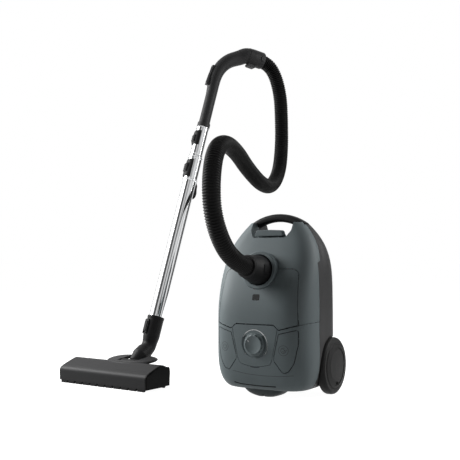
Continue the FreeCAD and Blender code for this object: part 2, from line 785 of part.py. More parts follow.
def lobe_point(degrees):
    """Outline of the recessed field on a wheel disc, with three shallow waves."""
    angle = math.radians(degrees)
    reach = lobe_radius + lobe_wave * math.cos(3 * angle)
    return V(reach * math.cos(angle), reach * math.sin(angle), 0)


def build_wheels():
    save("wheel_axles", Part.makeCompound(wheel_axle_solids()))
    w, r, d = tyre_width, wheel_radius, tyre_depth
    tyre = turned([(r - d, 0), (r - 4, 0), (r - 1.2, 2), (r, 5), (r, w - 7), (r - 1.2, w - 3),
                   (r - 5, w), (r - d, w)])
    disc = turned([(r - d - 3, 2), (r - d, 2), (r - d, w - 1), (r - d - 2, w + 1.5),
                   (34, w + disc_bulge - 1), (12, w + disc_bulge), (0, w + disc_bulge),
                   (0, w + disc_bulge - 4), (axle_radius + 5, w + disc_bulge - 4),
                   (r - d - 4, w - 3.5)])
    hub = tube(axle_radius + 5, axle_radius + shaft_play, V(0, 0, 1), V(0, 0, w + 3))
    hub = hub.common(Part.makeCylinder(60, w + 3))
    outline = Part.BSplineCurve()
    outline.interpolate([lobe_point(10 * i) for i in range(36)], True)
    field = Part.Face(Part.Wire(outline.toShape())).extrude(V(0, 0, 20))
    recess = field.translated(V(0, 0, w + disc_bulge - 5.5))
    dome = turned([(0, w), (r - d - 4, w - 3.5), (r - d - 2, w - 0.4), (34, w + disc_bulge - 2.4),
                   (12, w + disc_bulge - 1.4), (0, w + disc_bulge - 1.4)])
    disc = disc.fuse(hub).cut(recess.cut(dome))
    boss = Part.makeCylinder(3.2, 4.5, V(lobe_radius - 4, 0, w - 0.6))
    disc = disc.fuse(boss.fuse(Part.makeSphere(3.2, V(lobe_radius - 4, 0, w + 3.9))))
    for side, name in ((-1, "left"), (1, "right")):
        frame = axis_frame(V(side * wheel_inner, wheel_y, wheel_radius), V(side, 0, 0),
                           V(0, 0, -1))
        save("tyre_" + name, placed(tyre, frame))
        save("wheel_disc_" + name, placed(disc, frame))


def back_y(z):
    below = [s for s in body_stations if s[0] <= z][-1]
    above = [s for s in body_stations if s[0] > z][0]
    share = (z - below[0]) / (above[0] - below[0])
    return (below[2] + below[3]) * (1 - share) + (above[2] + above[3]) * share


def castor_socket_bore():
    y = back_y(castor_z)
    return cylinder(4 + shaft_play, V(0, y - 14, castor_z), V(0, y + 30, castor_z))


def build_castor():
    y = back_y(castor_z)
    stem = cylinder(4, V(0, y - 10, castor_z), V(0, y + 8, castor_z))
    crown = cylinder(13, V(0, y + 5, castor_z), V(0, y + 9, castor_z))
    axle_y = y + 9 + castor_wheel_radius + 4
    axle_z = castor_z - castor_trail
    fork = stem.fuse(crown)
    for side in (-1, 1):
        x0, x1 = sorted((side * 8.5, side * 11.5))
        cheek = Part.Face(Part.makePolygon([
            V(x0, y + 6, castor_z + 8), V(x0, y + 6, castor_z - 12), V(x0, axle_y - 3, axle_z - 6),
            V(x0, axle_y + 4, axle_z - 4), V(x0, axle_y + 4, axle_z + 4),
            V(x0, y + 6, castor_z + 8)])).extrude(V(x1 - x0, 0, 0))
        fork = fork.fuse(cheek)
    axle = cylinder(2, V(-12.5, axle_y, axle_z), V(12.5, axle_y, axle_z))
    save("castor_fork", fork.fuse(axle))
    wheel = turned([(2 + shaft_play, -7), (castor_wheel_radius - 1.5, -7),
                    (castor_wheel_radius, -5), (castor_wheel_radius, 5),
                    (castor_wheel_radius - 1.5, 7), (2 + shaft_play, 7)],
                   axis_frame(V(0, axle_y, axle_z), X_AXIS, Y_AXIS))
    save("castor_wheel", wheel)


def cord_outlet_bore():
    y = 104.0
    return cylinder(11, V(-52, y, body_bottom - 2), V(-52, y, body_bottom + 14))


def build_cord_outlet():
    y = 104.0
    ring = turned([(4.5, 12), (11, 12), (11, 1), (10, -0.5), (6.5, -0.5), (4.5, 2)],
                  FreeCAD.Placement(V(-52, y, body_bottom), FreeCAD.Rotation()))
    save("cord_outlet", ring)


# ---- hose ---------------------------------------------------------------------------------

def corner_route(points):
    """Straight runs joined by tangent arcs, as one wire."""
    points = [V(*p) for p in points]
    runs = [(points[i + 1] - points[i]).Length for i in range(len(points) - 1)]
    edges = []
    last = points[0]
    for i in range(1, len(points) - 1):
        before = (points[i] - points[i - 1]).normalize()
        after = (points[i + 1] - points[i]).normalize()
        turn = before.getAngle(after)
        trim = 0.45 * min(runs[i - 1], runs[i])
        radius = trim / math.tan(turn / 2)
        start = points[i] - before * trim
        end = points[i] + after * trim
        inward = (after - before).normalize()
        centre = points[i] + inward * (radius / math.cos(turn / 2))
        middle = centre - inward * radius
        edges.append(Part.LineSegment(last, start).toShape())
        edges.append(Part.Arc(start, middle, end).toShape())
        last = end
    edges.append(Part.LineSegment(last, points[-1]).toShape())
    return Part.Wire(edges)


def build_hose():
    path = corner_route(hose_route)
    start = V(*hose_route[0])
    direction = V(*hose_route[1]) - start
    outer = path.makePipeShell([Part.Wire(Part.makeCircle(hose_radius, start, direction))],
                               True, False)
    inner_ring = Part.Wire(Part.makeCircle(hose_radius - hose_wall, start, direction))
    inner = path.makePipeShell([inner_ring], True, False)
    save("hose", outer.cut(inner))
    print("hose length", round(path.Length, 1))


# ---- handle -------------------------------------------------------------------------------

head_frame = FreeCAD.Placement(V(head_x, head_y, 0), FreeCAD.Rotation(Z_AXIS, head_turn))
lean = math.radians(wand_lean)
heading = math.radians(wand_heading)
wand_axis = V(math.sin(lean) * math.cos(heading), math.sin(lean) * math.sin(heading),
              math.cos(lean))
bend = V(bend_x, bend_y, bend_z)
elbow = bend + wand_axis * 17.0          # where the neck widens into the tube's socket
across = head_frame.Rotation.multVec(X_AXIS)
wand_frame = axis_frame(elbow, wand_axis, across)

# stations along the wand, from the elbow
socket_mouth = 60.0
lower_tube_foot = 12.0
grip_start = 676.0
stem_length = 98.0
sleeve_length = 84.0
lock_gap = 2.0
lock_length = 68.0
sleeve_top = grip_start - stem_length
sleeve_foot = sleeve_top - sleeve_length
lock_top = sleeve_foot - lock_gap
lock_foot = lock_top - lock_length

sleeve_back = 20.0             # hose sleeve behind the hose's cut end
sleeve_front = 22.0
sleeve_radius = 23.0
# share of the way from the stem's top to the hose, and how far the grip bulges out there
grip_bulges = [(0.2, -8.9521, -8.5832, 29.7377), (0.4, -15.8891, -17.7874, 33.1283),
               (0.6, -14.5260, -16.6916, 33.0189), (0.8, -10.3630, -11.8958, 22.7094)]
hose_end = V(*hose_route[-1])
hose_end_axis = (V(*hose_route[-2]) - hose_end).normalize()


def on_wand(height, u=0.0, v=0.0):
    return wand_frame.multVec(V(u, v, height))


def grip_waypoints():
    """Places that the grip passes on its way from the stem's top to the hose end."""
    start = on_wand(grip_start)
    return [start + (hose_end - start) * share + V(dx, dy, dz)
            for share, dx, dy, dz in grip_bulges]


def grip_route():
    """From the wand's sleeve up and over to the hose end."""
    points = [on_wand(grip_start)] + grip_waypoints()
    curve = Part.BSplineCurve()
    curve.interpolate(points + [hose_end - hose_end_axis * sleeve_back],
                      InitialTangent=wand_axis * 50, FinalTangent=hose_end_axis * 30)
    return curve


def swelling_tube(route, radius, swell, thickness):
    """A tube along a smooth curve whose radius grows towards its far end."""
    path = Part.Wire(route.toShape())
    ends = ((route.FirstParameter, radius), (route.LastParameter, radius + swell))

    def run(shrink):
        rings = []
        for at, size in ends:
            ring = Part.Wire(Part.makeCircle(size - shrink))
            ring.Placement = axis_frame(route.value(at), route.tangent(at)[0], across)
            rings.append(ring)
        return path.makePipeShell(rings, True, False)

    return run(0.0).cut(run(thickness))


def slider_frame(route):
    """On the grip's outer side, with local Z along the grip and local Y outwards."""
    at = route.parameter(grip_waypoints()[0])
    centre = route.value(at)
    tangent = route.tangent(at)[0]
    outward = centre - hose_end
    outward = (outward - tangent * outward.dot(tangent)).normalize()
    return axis_frame(centre, tangent, outward.cross(tangent))


def build_handle():
    route = grip_route()
    bow = swelling_tube(route, grip_radius, grip_swell, grip_wall)
    stem = tube(grip_radius, grip_radius - grip_wall, on_wand(sleeve_top - 30),
                on_wand(grip_start))
    collar = tube(upper_tube_radius + 0.8, grip_radius, on_wand(sleeve_top),
                  on_wand(sleeve_top + 14))
    at_hose = axis_frame(hose_end, hose_end_axis, Z_AXIS)
    bore, outer = hose_radius + free_play, sleeve_radius
    sleeve = turned([(17.0, -sleeve_back - 4), (outer - 1.2, -sleeve_back - 4),
                     (outer, -8), (outer, sleeve_front - 3),
                     (outer - 1, sleeve_front), (bore, sleeve_front), (bore, -4),
                     (bore + 0.8, -4), (bore + 0.8, -10), (17.0, -10)], at_hose)
    lobe = round_box(-29, -21, -9, 9, -22, 2, 3.5, "y")
    tab = round_box(-7, 5, outer - 1.5, outer + 1.0, 8, 18, 2, "y")
    slider_at = slider_frame(route)
    low = grip_radius + 2.2
    ridge = round_box(-8, 8, grip_radius - 1.6, grip_radius + 4.4, -30, 27, 2.5, "y")
    slot = round_box(-4, 4, low, 40, -24, 22, 1.5, "y")
    grip = bow.fuse(stem).fuse(collar).fuse(sleeve)
    grip = grip.fuse(placed(lobe.fuse(tab), at_hose)).fuse(placed(ridge, slider_at))
    save("grip", grip.cut(placed(slot, slider_at)))
    ring = turned([(13, -15), (16.6, -15), (16.6, -9.6), (bore + 0.4, -9.6),
                   (bore + 0.4, -4.4), (hose_radius, -4.4), (hose_radius, 0), (13, 0)],
                  at_hose)
    save("hose_end_ring", ring)
    slider = round_box(-3.6, 3.6, low + 0.1, grip_radius + 6.0, -23.6, 5.4, 1.2, "y")
    save("suction_slider", placed(slider, slider_at))


# ---- wand ---------------------------------------------------------------------------------

button_turn = 155.0            # the wand's buttons face forward and a little outward
button_slide = 3.0


def set_forward(shape, station):
    """From a button's own frame to its station on the wand."""
    turn = FreeCAD.Placement(V(0, 0, 0), FreeCAD.Rotation(Z_AXIS, button_turn))
    return placed(placed(shape, turn), axis_frame(on_wand(station), wand_axis, across))


def build_wand():
    r, t = upper_tube_radius, tube_wall
    save("upper_tube", tube(r, r - t, on_wand(sleeve_foot - tube_stroke - 60),
                            on_wand(sleeve_top)))
    s = sleeve_length
    sleeve = turned([(r, 0), (r + 1.6, 0), (r + 1.6, 6), (r + 0.8, 8), (r + 0.8, s - 8),
                     (r + 1.6, s - 6), (r + 1.6, s), (r, s)],
                    axis_frame(on_wand(sleeve_foot), wand_axis, across))
    guard = round_box(-9, 9, r - 1, r + 3.0, 30, 68, 3, "y")
    sleeve = sleeve.fuse(set_forward(guard, sleeve_foot))
    sleeve = sleeve.cut(cylinder(r, on_wand(sleeve_foot - 5), on_wand(sleeve_top + 5)))
    save("upper_sleeve", sleeve.cut(wand_button_form(free_play)))
    save("wand_button", wand_button_form())

    R = lower_tube_radius
    save("lower_tube", tube(R, R - t, on_wand(lower_tube_foot), on_wand(lock_top - 6)))
    frame = axis_frame(on_wand(lock_foot), wand_axis, across)
    h = lock_length
    housing = turned([(R, 0), (R + 3, 0), (R + 3, 5), (R + 1.4, 8), (R + 1.4, h - 8),
                      (R + 2.6, h - 5), (R + 2.6, h), (r + shaft_play, h),
                      (r + shaft_play, h - 6), (R, h - 6)], frame)
    guard = round_box(-10, 10, R - 1, R + 3.4, 12, 54, 3, "y")
    housing = housing.fuse(set_forward(guard, lock_foot))
    housing = housing.cut(cylinder(R, on_wand(lock_foot - 5), on_wand(lock_top - 6)))
    save("lock_housing", housing.cut(lock_slider_form(free_play)))
    save("lock_slider", lock_slider_form())


def wand_button_form(grow=0.0):
    """Handle-release button in its guard on the wand sleeve."""
    r = upper_tube_radius
    travel = button_slide if grow else 0.0
    pad = round_box(-5.5 - grow, 5.5 + grow, r + 1.2 - grow, r + 5.0 + grow, 36 - grow,
                    58 + grow + travel, 2.2, "y")
    return set_forward(pad, sleeve_foot)


def lock_slider_form(grow=0.0):
    """Telescope-lock slider in its guard on the lock housing."""
    r = lower_tube_radius
    travel = button_slide if grow else 0.0
    pad = round_box(-6.5 - grow, 6.5 + grow, r + 1.4 - grow, r + 5.4 + grow,
                    20 - grow - travel, 46 + grow, 2.2, "y")
    return set_forward(pad, lock_foot)


# ---- neck and floor head (own frame: x along the head, y back, z up) -----------------------

to_head = head_frame.inverse()
bend_local = to_head.multVec(bend)
neck_u = bend_local.x
hinge = V(neck_u, hinge_v, hinge_z)
neck_axis = (bend_local - hinge).normalize()
wand_axis_local = to_head.Rotation.multVec(wand_axis)
swivel_at = 50.0               # from the tilt axis to the swivel face
swivel_radius = 20.0
plug_radius = 13.0
bend_trim = 12.0


def neck_point(distance):
    return hinge + neck_axis * distance


def tilt_pins(grow=0.0):
    """The two stubs on the tilt axis."""
    pins = []
    for side in (-1, 1):
        pins.append(cylinder(tilt_pin_radius + grow, hinge + V(side * 8, 0, 0),
                             hinge + V(side * (notch_half + 10), 0, 0)))
    return pins[0].fuse(pins[1])


def neck_path():
    """The neck's centre line: lower run, bend, upper run."""
    start = bend_local - neck_axis * bend_trim
    end = bend_local + wand_axis_local * bend_trim
    half = neck_axis.getAngle(wand_axis_local) / 2
    inward = (wand_axis_local - neck_axis).normalize()
    radius = bend_trim / math.tan(half)
    centre = bend_local + inward * (radius / math.cos(half))
    top = to_head.multVec(on_wand(0.0))
    return Part.Wire([Part.LineSegment(neck_point(swivel_at), start).toShape(),
                      Part.Arc(start, centre - inward * radius, end).toShape(),
                      Part.LineSegment(end, top).toShape()])


def build_neck():
    path = neck_path()

    def pipe(r):
        ring = Part.Wire(Part.makeCircle(r, neck_point(swivel_at), neck_axis))
        return path.makePipeShell([ring], True, False)

    R, r = lower_tube_radius, neck_radius
    bore = r - 3
    up = axis_frame(to_head.multVec(on_wand(0.0)), wand_axis_local, X_AXIS)
    socket = turned([(bore, -4), (r + 0.2, -4), (R + 2.8, 10), (R + 2.8, socket_mouth - 7),
                     (R + 3.4, socket_mouth - 4), (R + 3.4, socket_mouth), (R, socket_mouth),
                     (R, lower_tube_foot), (bore, lower_tube_foot)], up)
    turn = FreeCAD.Placement(V(0, 0, 0), FreeCAD.Rotation(Z_AXIS, button_turn))
    guard = round_box(-9.5, 9.5, R - 1, R + 4.4, 13, 50, 3, "y")
    guard = placed(placed(guard, turn), up)
    guard = guard.cut(cylinder(R, to_head.multVec(on_wand(-20)), to_head.multVec(on_wand(90))))
    collar = tube(swivel_radius, plug_radius - 3, neck_point(swivel_at),
                  neck_point(swivel_at + 6))
    plug = tube(plug_radius, plug_radius - 3, neck_point(swivel_at - 16),
                neck_point(swivel_at + 3))
    neck = pipe(r).cut(pipe(bore)).fuse(socket).fuse(guard).fuse(collar).fuse(plug)
    neck = neck.cut(neck_button_form(up, free_play))
    save("neck", placed(neck, head_frame))
    save("neck_button", placed(neck_button_form(up), head_frame))

    s = swivel_at
    lining = plug_radius + shaft_play
    knuckle = turned([(lining, s - 20), (lining, s - 0.4), (swivel_radius, s - 0.4),
                      (swivel_radius, s - 14), (swivel_radius - 4, s - 26),
                      (barrel_radius - 1, 10), (7, 8), (7, s - 20)],
                     axis_frame(hinge, neck_axis, X_AXIS))
    reach = V(notch_half - free_play, 0, 0)
    knuckle = knuckle.fuse(cylinder(barrel_radius, hinge - reach, hinge + reach))
    knuckle = knuckle.cut(tilt_pins(shaft_play))
    save("knuckle", placed(knuckle, head_frame))


def neck_button_form(place, grow=0.0):
    """Wand-release button on the neck's socket."""
    R = lower_tube_radius
    travel = button_slide if grow else 0.0
    pad = round_box(-6.5 - grow, 6.5 + grow, R + 2.2 - grow, R + 6.0 + grow,
                    19 - grow - travel, 44 + grow, 2.2, "y")
    turn = FreeCAD.Placement(V(0, 0, 0), FreeCAD.Rotation(Z_AXIS, button_turn))
    return placed(placed(pad, turn), place)


notch_half = 27.0
notch_front = 64.0
cap_width = 5.0
cover_half = head_length / 2 - cap_width
roller_v = 74.0
mouth_front, mouth_back = 24.0, 42.0


def head_profile(inset=0.0):
    """Side outline of the floor head: upright nose, crowned top, rounded heel."""
    nose, heel, top = inset, head_depth - inset, head_height - inset
    low = 6.0
    points = [V(0, nose + 1, low), V(0, nose, head_brow),
              V(0, nose + 9, head_brow + 12 - inset), V(0, 38, top - 4), V(0, 60, top),
              V(0, heel - 8, top - 6), V(0, heel, 34), V(0, heel - 2, low)]
    front = Part.LineSegment(points[0], points[1]).toShape()
    crown = Part.BSplineCurve()
    crown.interpolate(points[1:7], InitialTangent=V(0, 0, 1) * 12,
                      FinalTangent=V(0, 0, -1) * 20)
    heel_line = Part.LineSegment(points[6], points[7]).toShape()
    sole = Part.LineSegment(points[7], points[0]).toShape()
    return Part.Wire([front, crown.toShape(), heel_line, sole])


def head_prism(inset, half):
    face = Part.Face(head_profile(inset))
    return face.extrude(V(2 * half, 0, 0)).translated(V(-half, 0, 0))


def head_notch(grow=0.0):
    return box(neck_u - notch_half - grow, neck_u + notch_half + grow, notch_front - grow,
               140, -5, 120)


def brush_slot():
    return round_box(-cover_half + 13, cover_half - 13, 12, 18, 0, 20, 2, "z")


def build_cover():
    half = cover_half
    cover = head_prism(0, half).cut(head_prism(head_wall, half - head_wall))
    cavity = box(-half + head_wall, half - head_wall, 4, head_depth - 5, 0, 9)
    walls = head_notch(head_wall).common(box(-200, 200, 0, 200, 6, 90)).cut(head_notch())
    cover = cover.cut(cavity).fuse(walls.common(head_prism(0, half))).cut(head_notch())
    for side in (-1, 1):
        x0, x1 = sorted((neck_u + side * notch_half, neck_u + side * (notch_half + 9)))
        cover = cover.fuse(round_box(x0, x1, hinge_v - 15, hinge_v + 8, hinge_z - 16,
                                     hinge_z + 5.5, 5, "x"))
    for x in (-110, 110):
        for y in (31, 55):
            boss = cylinder(4, V(x, y, 6), V(x, y, head_height))
            cover = cover.fuse(boss.common(head_prism(0, half)))
    pocket = pedal_wing(pedal_room + 2.2).cut(head_notch()).common(head_prism(0, half))
    cover = cover.fuse(pocket).cut(pedal_wing(pedal_room))
    cover = cover.fuse(tilt_pins()).cut(pedal_pin(shaft_play))
    cover = cover.cut(box(neck_u - 15, neck_u + 15, 55, notch_front + 1, 8, 21))
    cover = cover.cut(roller_axle(-1, shaft_play)).cut(roller_axle(1, shaft_play))
    save("head_cover", placed(cover, head_frame))


def build_caps():
    caps = []
    for side in (-1, 1):
        plate = head_prism(0, 1.5).translated(V(side * (cover_half + 1.5), 0, 0))
        inner = head_profile(0).translated(V(side * (cover_half + 3), 0, 0))
        outer = head_profile(2.0).translated(V(side * (cover_half + cap_width), 0, 0))
        caps.append(plate.fuse(Part.makeLoft([inner, outer], True, True)))
    save("head_end_caps", placed(Part.makeCompound(caps), head_frame))


def roller_axle(side, grow=0.0):
    """Axle of one running wheel, from the sole to just inside the cover's end wall."""
    end = side * (cover_half - 0.6 + grow)
    return cylinder(1.5 + grow, V(side * (112 - grow), roller_v, 6), V(end, roller_v, 6))


def build_sole():
    half = cover_half
    sole = box(-half + 3, half - 3, 6.8, head_depth - 6, 2.5, 6)
    sole = sole.cut(round_box(-105, 105, mouth_front, mouth_back, 0, 10, 6))
    sole = sole.cut(head_notch(3)).cut(brush_slot())
    for side in (-1, 1):
        x0, x1 = sorted((side * 116, side * 132))
        sole = sole.cut(box(x0, x1, roller_v - 8, head_depth, 0, 10))
        sole = sole.cut(roller_axle(side, shaft_play))
    duct = box(neck_u - 18, neck_u + 18, mouth_front - 3, notch_front - head_wall, 5, 24)
    way = box(neck_u - 15, neck_u + 15, mouth_front + 0.5, notch_front, 6, 21)
    save("head_sole", placed(sole.fuse(duct).cut(way), head_frame))

    teeth = box(-half + 3.5, half - 3.5, 4.0, 6.4, 3.5, 8.9)
    count = 11
    pitch = 2 * half / count
    for i in range(count):
        x = -half + pitch * (i + 0.5)
        teeth = teeth.fuse(box(x - pitch / 2 + 2.6, x + pitch / 2 - 2.6, 0.6, 6.4, 0, 5.9))
    save("head_comb", placed(teeth, head_frame))

    brush = round_box(-half + 14, half - 14, 12.6, 17.4, 3.2, 14, 2, "z")
    save("brush_strip", placed(brush, head_frame))
    rollers = []
    for side in (-1, 1):
        wheel = cylinder(6, V(side * 118, roller_v, 6), V(side * 128, roller_v, 6))
        rollers.append(wheel.fuse(roller_axle(side)))
    save("head_rollers", placed(Part.makeCompound(rollers), head_frame))


# ---- floor head's foot pedal --------------------------------------------------------------

pedal_front = 46.0             # the pedal's front edge, and its top there
pedal_front_z = 53.5
pedal_slope = 6.0
pedal_half_width = 66.0
pedal_half_depth = 41.0
pedal_thick = 6.0
pedal_axis_v = 58.0
pedal_room = 1.8               # clearance round the rocking pedal


def pedal_frame():
    return FreeCAD.Placement(V(neck_u, pedal_front, pedal_front_z),
                             FreeCAD.Rotation(X_AXIS, pedal_slope))


def pedal_wing(grow=0.0):
    """The butterfly's full outline between its underside and its crown."""
    half, depth = pedal_half_width + grow, pedal_half_depth + grow
    levels = ((-pedal_thick - grow, 5.0), (-2.5, 0.0), (1.0 + grow, 5.0))
    rings = [squircle(half - trim, depth - trim, V(0, pedal_half_depth, z), 2.6, 16)
             for z, trim in levels]
    return placed(Part.makeLoft(rings, True, False), pedal_frame())


def pedal_pin(grow=0.0):
    at = pedal_frame().multVec(V(0, pedal_axis_v - pedal_front, -2.8))
    reach = V(43.0, 0, 0)
    return cylinder(2.0 + grow, at - reach, at + reach)


def build_pedal():
    """A butterfly-shaped rocker round the neck."""
    slot = box(neck_u - notch_half - 1, neck_u + notch_half + 1, notch_front - 1, 200, 0, 120)
    save("head_pedal", placed(pedal_wing().cut(slot).fuse(pedal_pin()), head_frame))


for build in (build_covers, build_foot, build_inlet, build_hatch, build_flag, build_latch,
              build_facia, build_pedals, build_inside, build_exhaust, build_wheels,
              build_castor, build_cord_outlet, build_hose, build_handle, build_wand,
              build_neck, build_cover, build_caps, build_sole, build_pedal):
    build()
    print(build.__name__)
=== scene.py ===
"""Canister vacuum cleaner, parked upright: the visual model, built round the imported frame."""

import logging
import math
import random
from dataclasses import dataclass
from enum import Enum
from functools import lru_cache
from typing import Callable, Sequence, Union

import bpy
from mathutils import Matrix, Vector
from mathutils.bvhtree import BVHTree


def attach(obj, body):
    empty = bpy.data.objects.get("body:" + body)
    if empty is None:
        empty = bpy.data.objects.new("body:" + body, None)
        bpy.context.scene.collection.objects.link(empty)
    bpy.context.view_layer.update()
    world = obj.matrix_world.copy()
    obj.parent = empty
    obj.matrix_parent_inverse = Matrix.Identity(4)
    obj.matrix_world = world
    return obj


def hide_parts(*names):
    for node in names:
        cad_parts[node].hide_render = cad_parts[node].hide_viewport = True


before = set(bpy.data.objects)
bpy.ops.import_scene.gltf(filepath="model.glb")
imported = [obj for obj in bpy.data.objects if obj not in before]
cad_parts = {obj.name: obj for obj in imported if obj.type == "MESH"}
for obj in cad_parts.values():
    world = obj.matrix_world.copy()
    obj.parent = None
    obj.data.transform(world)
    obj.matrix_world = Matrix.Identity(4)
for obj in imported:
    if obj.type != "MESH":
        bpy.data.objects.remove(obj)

log = logging.getLogger("vacuum cleaner")
MM = 0.001
PER_METRE = 1000
BEFORE_ALL = -300.0  # a depth in front of the whole canister, in millimetres
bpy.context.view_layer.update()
Point = tuple[float, float, float]
Colour = tuple[float, float, float]


# ---- helpers --------------------------------------------------------------------------------


def linked(name: str, data: bpy.types.ID) -> bpy.types.Object:
    """Makes an object and links it to the scene.

    Args:
        name: Its name.
        data: Its mesh, lamp or camera.

    Returns:
        The object.
    """
    made = bpy.data.objects.new(name, data)
    bpy.context.scene.collection.objects.link(made)
    return made


def around(count: int) -> list[float]:
    """Returns evenly spaced angles round a circle, in radians."""
    return [2 * math.pi * i / count for i in range(count)]


def corners_of(name: str) -> list[Vector]:
    """Returns the corners of a frame node's mesh, in millimetres."""
    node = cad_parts[name]
    return [node.matrix_world @ v.co * PER_METRE for v in node.data.vertices]


def box_of(points: Sequence[Vector]) -> tuple[Vector, Vector]:
    """Returns the lowest and the highest corner of some points' box."""
    return (Vector(min(p[i] for p in points) for i in range(3)),
            Vector(max(p[i] for p in points) for i in range(3)))


@lru_cache(maxsize=None)
def surface_of(name: str) -> BVHTree:
    """Returns a frame node's surface, for rays in millimetres."""
    faces = [tuple(p.vertices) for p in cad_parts[name].data.polygons]
    return BVHTree.FromPolygons(corners_of(name), faces)


# ---- solids ---------------------------------------------------------------------------------


class Side(Enum):
    """A side of the canister, as the sign of its X."""

    RIGHT = 1
    LEFT = -1

    @property
    def word(self) -> str:
        """Returns the side's name, as the pieces have it."""
        return self.name.lower()


class Solid:
    """A closed mesh in millimetres; a - b cuts b away."""

    def __init__(self, points: Sequence[Vector], faces: Sequence[Sequence[int]]) -> None:
        """Makes the mesh.

        Args:
            points: Corners, in millimetres.
            faces: Corner numbers of each face.
        """
        mesh = bpy.data.meshes.new("solid")
        mesh.from_pydata([tuple(p) for p in points], [], [list(f) for f in faces])
        self.object = linked("solid", mesh)

    def bake(self) -> "Solid":
        """Applies the modifiers that the working object has.

        Returns:
            This solid.
        """
        graph = bpy.context.evaluated_depsgraph_get()
        mesh = bpy.data.meshes.new_from_object(self.object.evaluated_get(graph))
        self.object.modifiers.clear()
        old = self.object.data
        self.object.data = mesh
        bpy.data.meshes.remove(old)
        return self

    def drop(self) -> None:
        """Removes the working object."""
        mesh = self.object.data
        bpy.data.objects.remove(self.object)
        bpy.data.meshes.remove(mesh)

    def __sub__(self, other: "Solid") -> "Solid":
        """Cuts the other solid away, and uses it up.

        Args:
            other: The solid to cut with.

        Returns:
            This solid with its new mesh.
        """
        modifier = self.object.modifiers.new("cut", "BOOLEAN")
        modifier.solver = "MANIFOLD"
        modifier.operation = "DIFFERENCE"
        modifier.object = other.object
        self.bake()
        other.drop()
        return self

    def moved(self, place: Matrix) -> "Solid":
        """Moves the mesh.

        Args:
            place: The new frame, with its origin in millimetres.

        Returns:
            This solid.
        """
        self.object.data.transform(place)
        if place.determinant() < 0:
            self.object.data.flip_normals()
        return self

    def softened(self, width: float, steps: int = 2, angle: float = 40.0) -> "Solid":
        """Rounds the sharp edges.

        Args:
            width: Radius of the rounding.
            steps: Facets across it.
            angle: Edges sharper than this are rounded, in degrees.

        Returns:
            This solid.
        """
        modifier = self.object.modifiers.new("soft", "BEVEL")
        modifier.width = width
        modifier.segments = steps
        modifier.limit_method = "ANGLE"
        modifier.angle_limit = math.radians(angle)
        modifier.use_clamp_overlap = False
        modifier.miter_outer = "MITER_ARC"
        return self.bake()

    def facing_out(self) -> "Solid":
        """Turns the faces outwards.

        Returns:
            This solid.
        """
        mesh = self.object.data
        count = len(mesh.polygons)
        mesh.calc_loop_triangles()
        volume = 0.0
        for tri in mesh.loop_triangles:
            a, b, c = (mesh.vertices[i].co for i in tri.vertices)
            volume += a.dot(b.cross(c))
        if volume < 0 and count:
            mesh.flip_normals()
        return self

    def piece(self, name: str, body: str, finish: "Finish", *nodes: str,
              crease: float = 32.0) -> bpy.types.Object:
        """Turns the solid into a finished piece of the model.

        Args:
            name: The piece's name.
            body: The body that it rides on.
            finish: Its material.
            nodes: The frame's nodes that it stands for.
            crease: Edges sharper than this stay sharp, in degrees.

        Returns:
            The piece.
        """
        mesh = self.object.data
        mesh.transform(Matrix.Scale(MM, 4))
        mesh.validate()
        mesh.polygons.foreach_set("use_smooth", [True] * len(mesh.polygons))
        mesh.set_sharp_from_angle(angle=math.radians(crease))
        mesh.materials.clear()
        mesh.materials.append(finish.material())
        self.object.name = name
        mesh.name = name
        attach(self.object, body)
        if nodes:
            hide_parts(*nodes)
        log.info("%s: %d faces, on %s", name, len(mesh.polygons), body)
        return self.object


def frame_at(origin: Vector, direction: Vector, x_hint: Vector) -> Matrix:
    """A frame whose Z is the direction and whose X is near the hint.

    Args:
        origin: The frame's origin.
        direction: Its Z axis.
        x_hint: Where X roughly points.

    Returns:
        The frame as a matrix.
    """
    z = Vector(direction).normalized()
    y = z.cross(x_hint).normalized()
    x = y.cross(z)
    rotation = Matrix((x, y, z)).transposed().to_4x4()
    return Matrix.Translation(origin) @ rotation


def loft(rings: Sequence[Sequence[Vector]], capped: bool = True) -> Solid:
    """A skin over closed rings of equal length.

    Args:
        rings: The rings, in order.
        capped: Whether the ends are closed; without caps the last ring joins the first.

    Returns:
        The solid.
    """
    count = len(rings[0])
    points = [p for ring in rings for p in ring]
    spans = len(rings) - 1 if capped else len(rings)
    faces = []
    for i in range(spans):
        low, high = i * count, (i + 1) % len(rings) * count
        for j in range(count):
            k = (j + 1) % count
            faces.append((low + j, low + k, high + k, high + j))
    if capped:
        faces.append(tuple(reversed(range(count))))
        faces.append(tuple(range((len(rings) - 1) * count, len(rings) * count)))
    return Solid(points, faces)


def turned(profile: Sequence[tuple[float, float]], place: Matrix = Matrix.Identity(4),
           steps: int = 96, wave: Callable[[float, float], float] | None = None) -> Solid:
    """A closed profile turned about the frame's Z axis.

    Args:
        profile: Radius and height of each corner, in order round the profile.
        place: The frame.
        steps: Facets round the axis.
        wave: Change of radius from radius and angle.

    Returns:
        The solid.
    """
    rings = []
    for angle in around(steps):
        ring = []
        for radius, height in profile:
            r = radius + (wave(radius, angle) if wave else 0.0)
            ring.append(place @ Vector((r * math.cos(angle), r * math.sin(angle), height)))
        rings.append(ring)
    return loft(rings, capped=False).facing_out()


# ---- shader maths ---------------------------------------------------------------------------

Input = Union["Link", float, Sequence[float]]


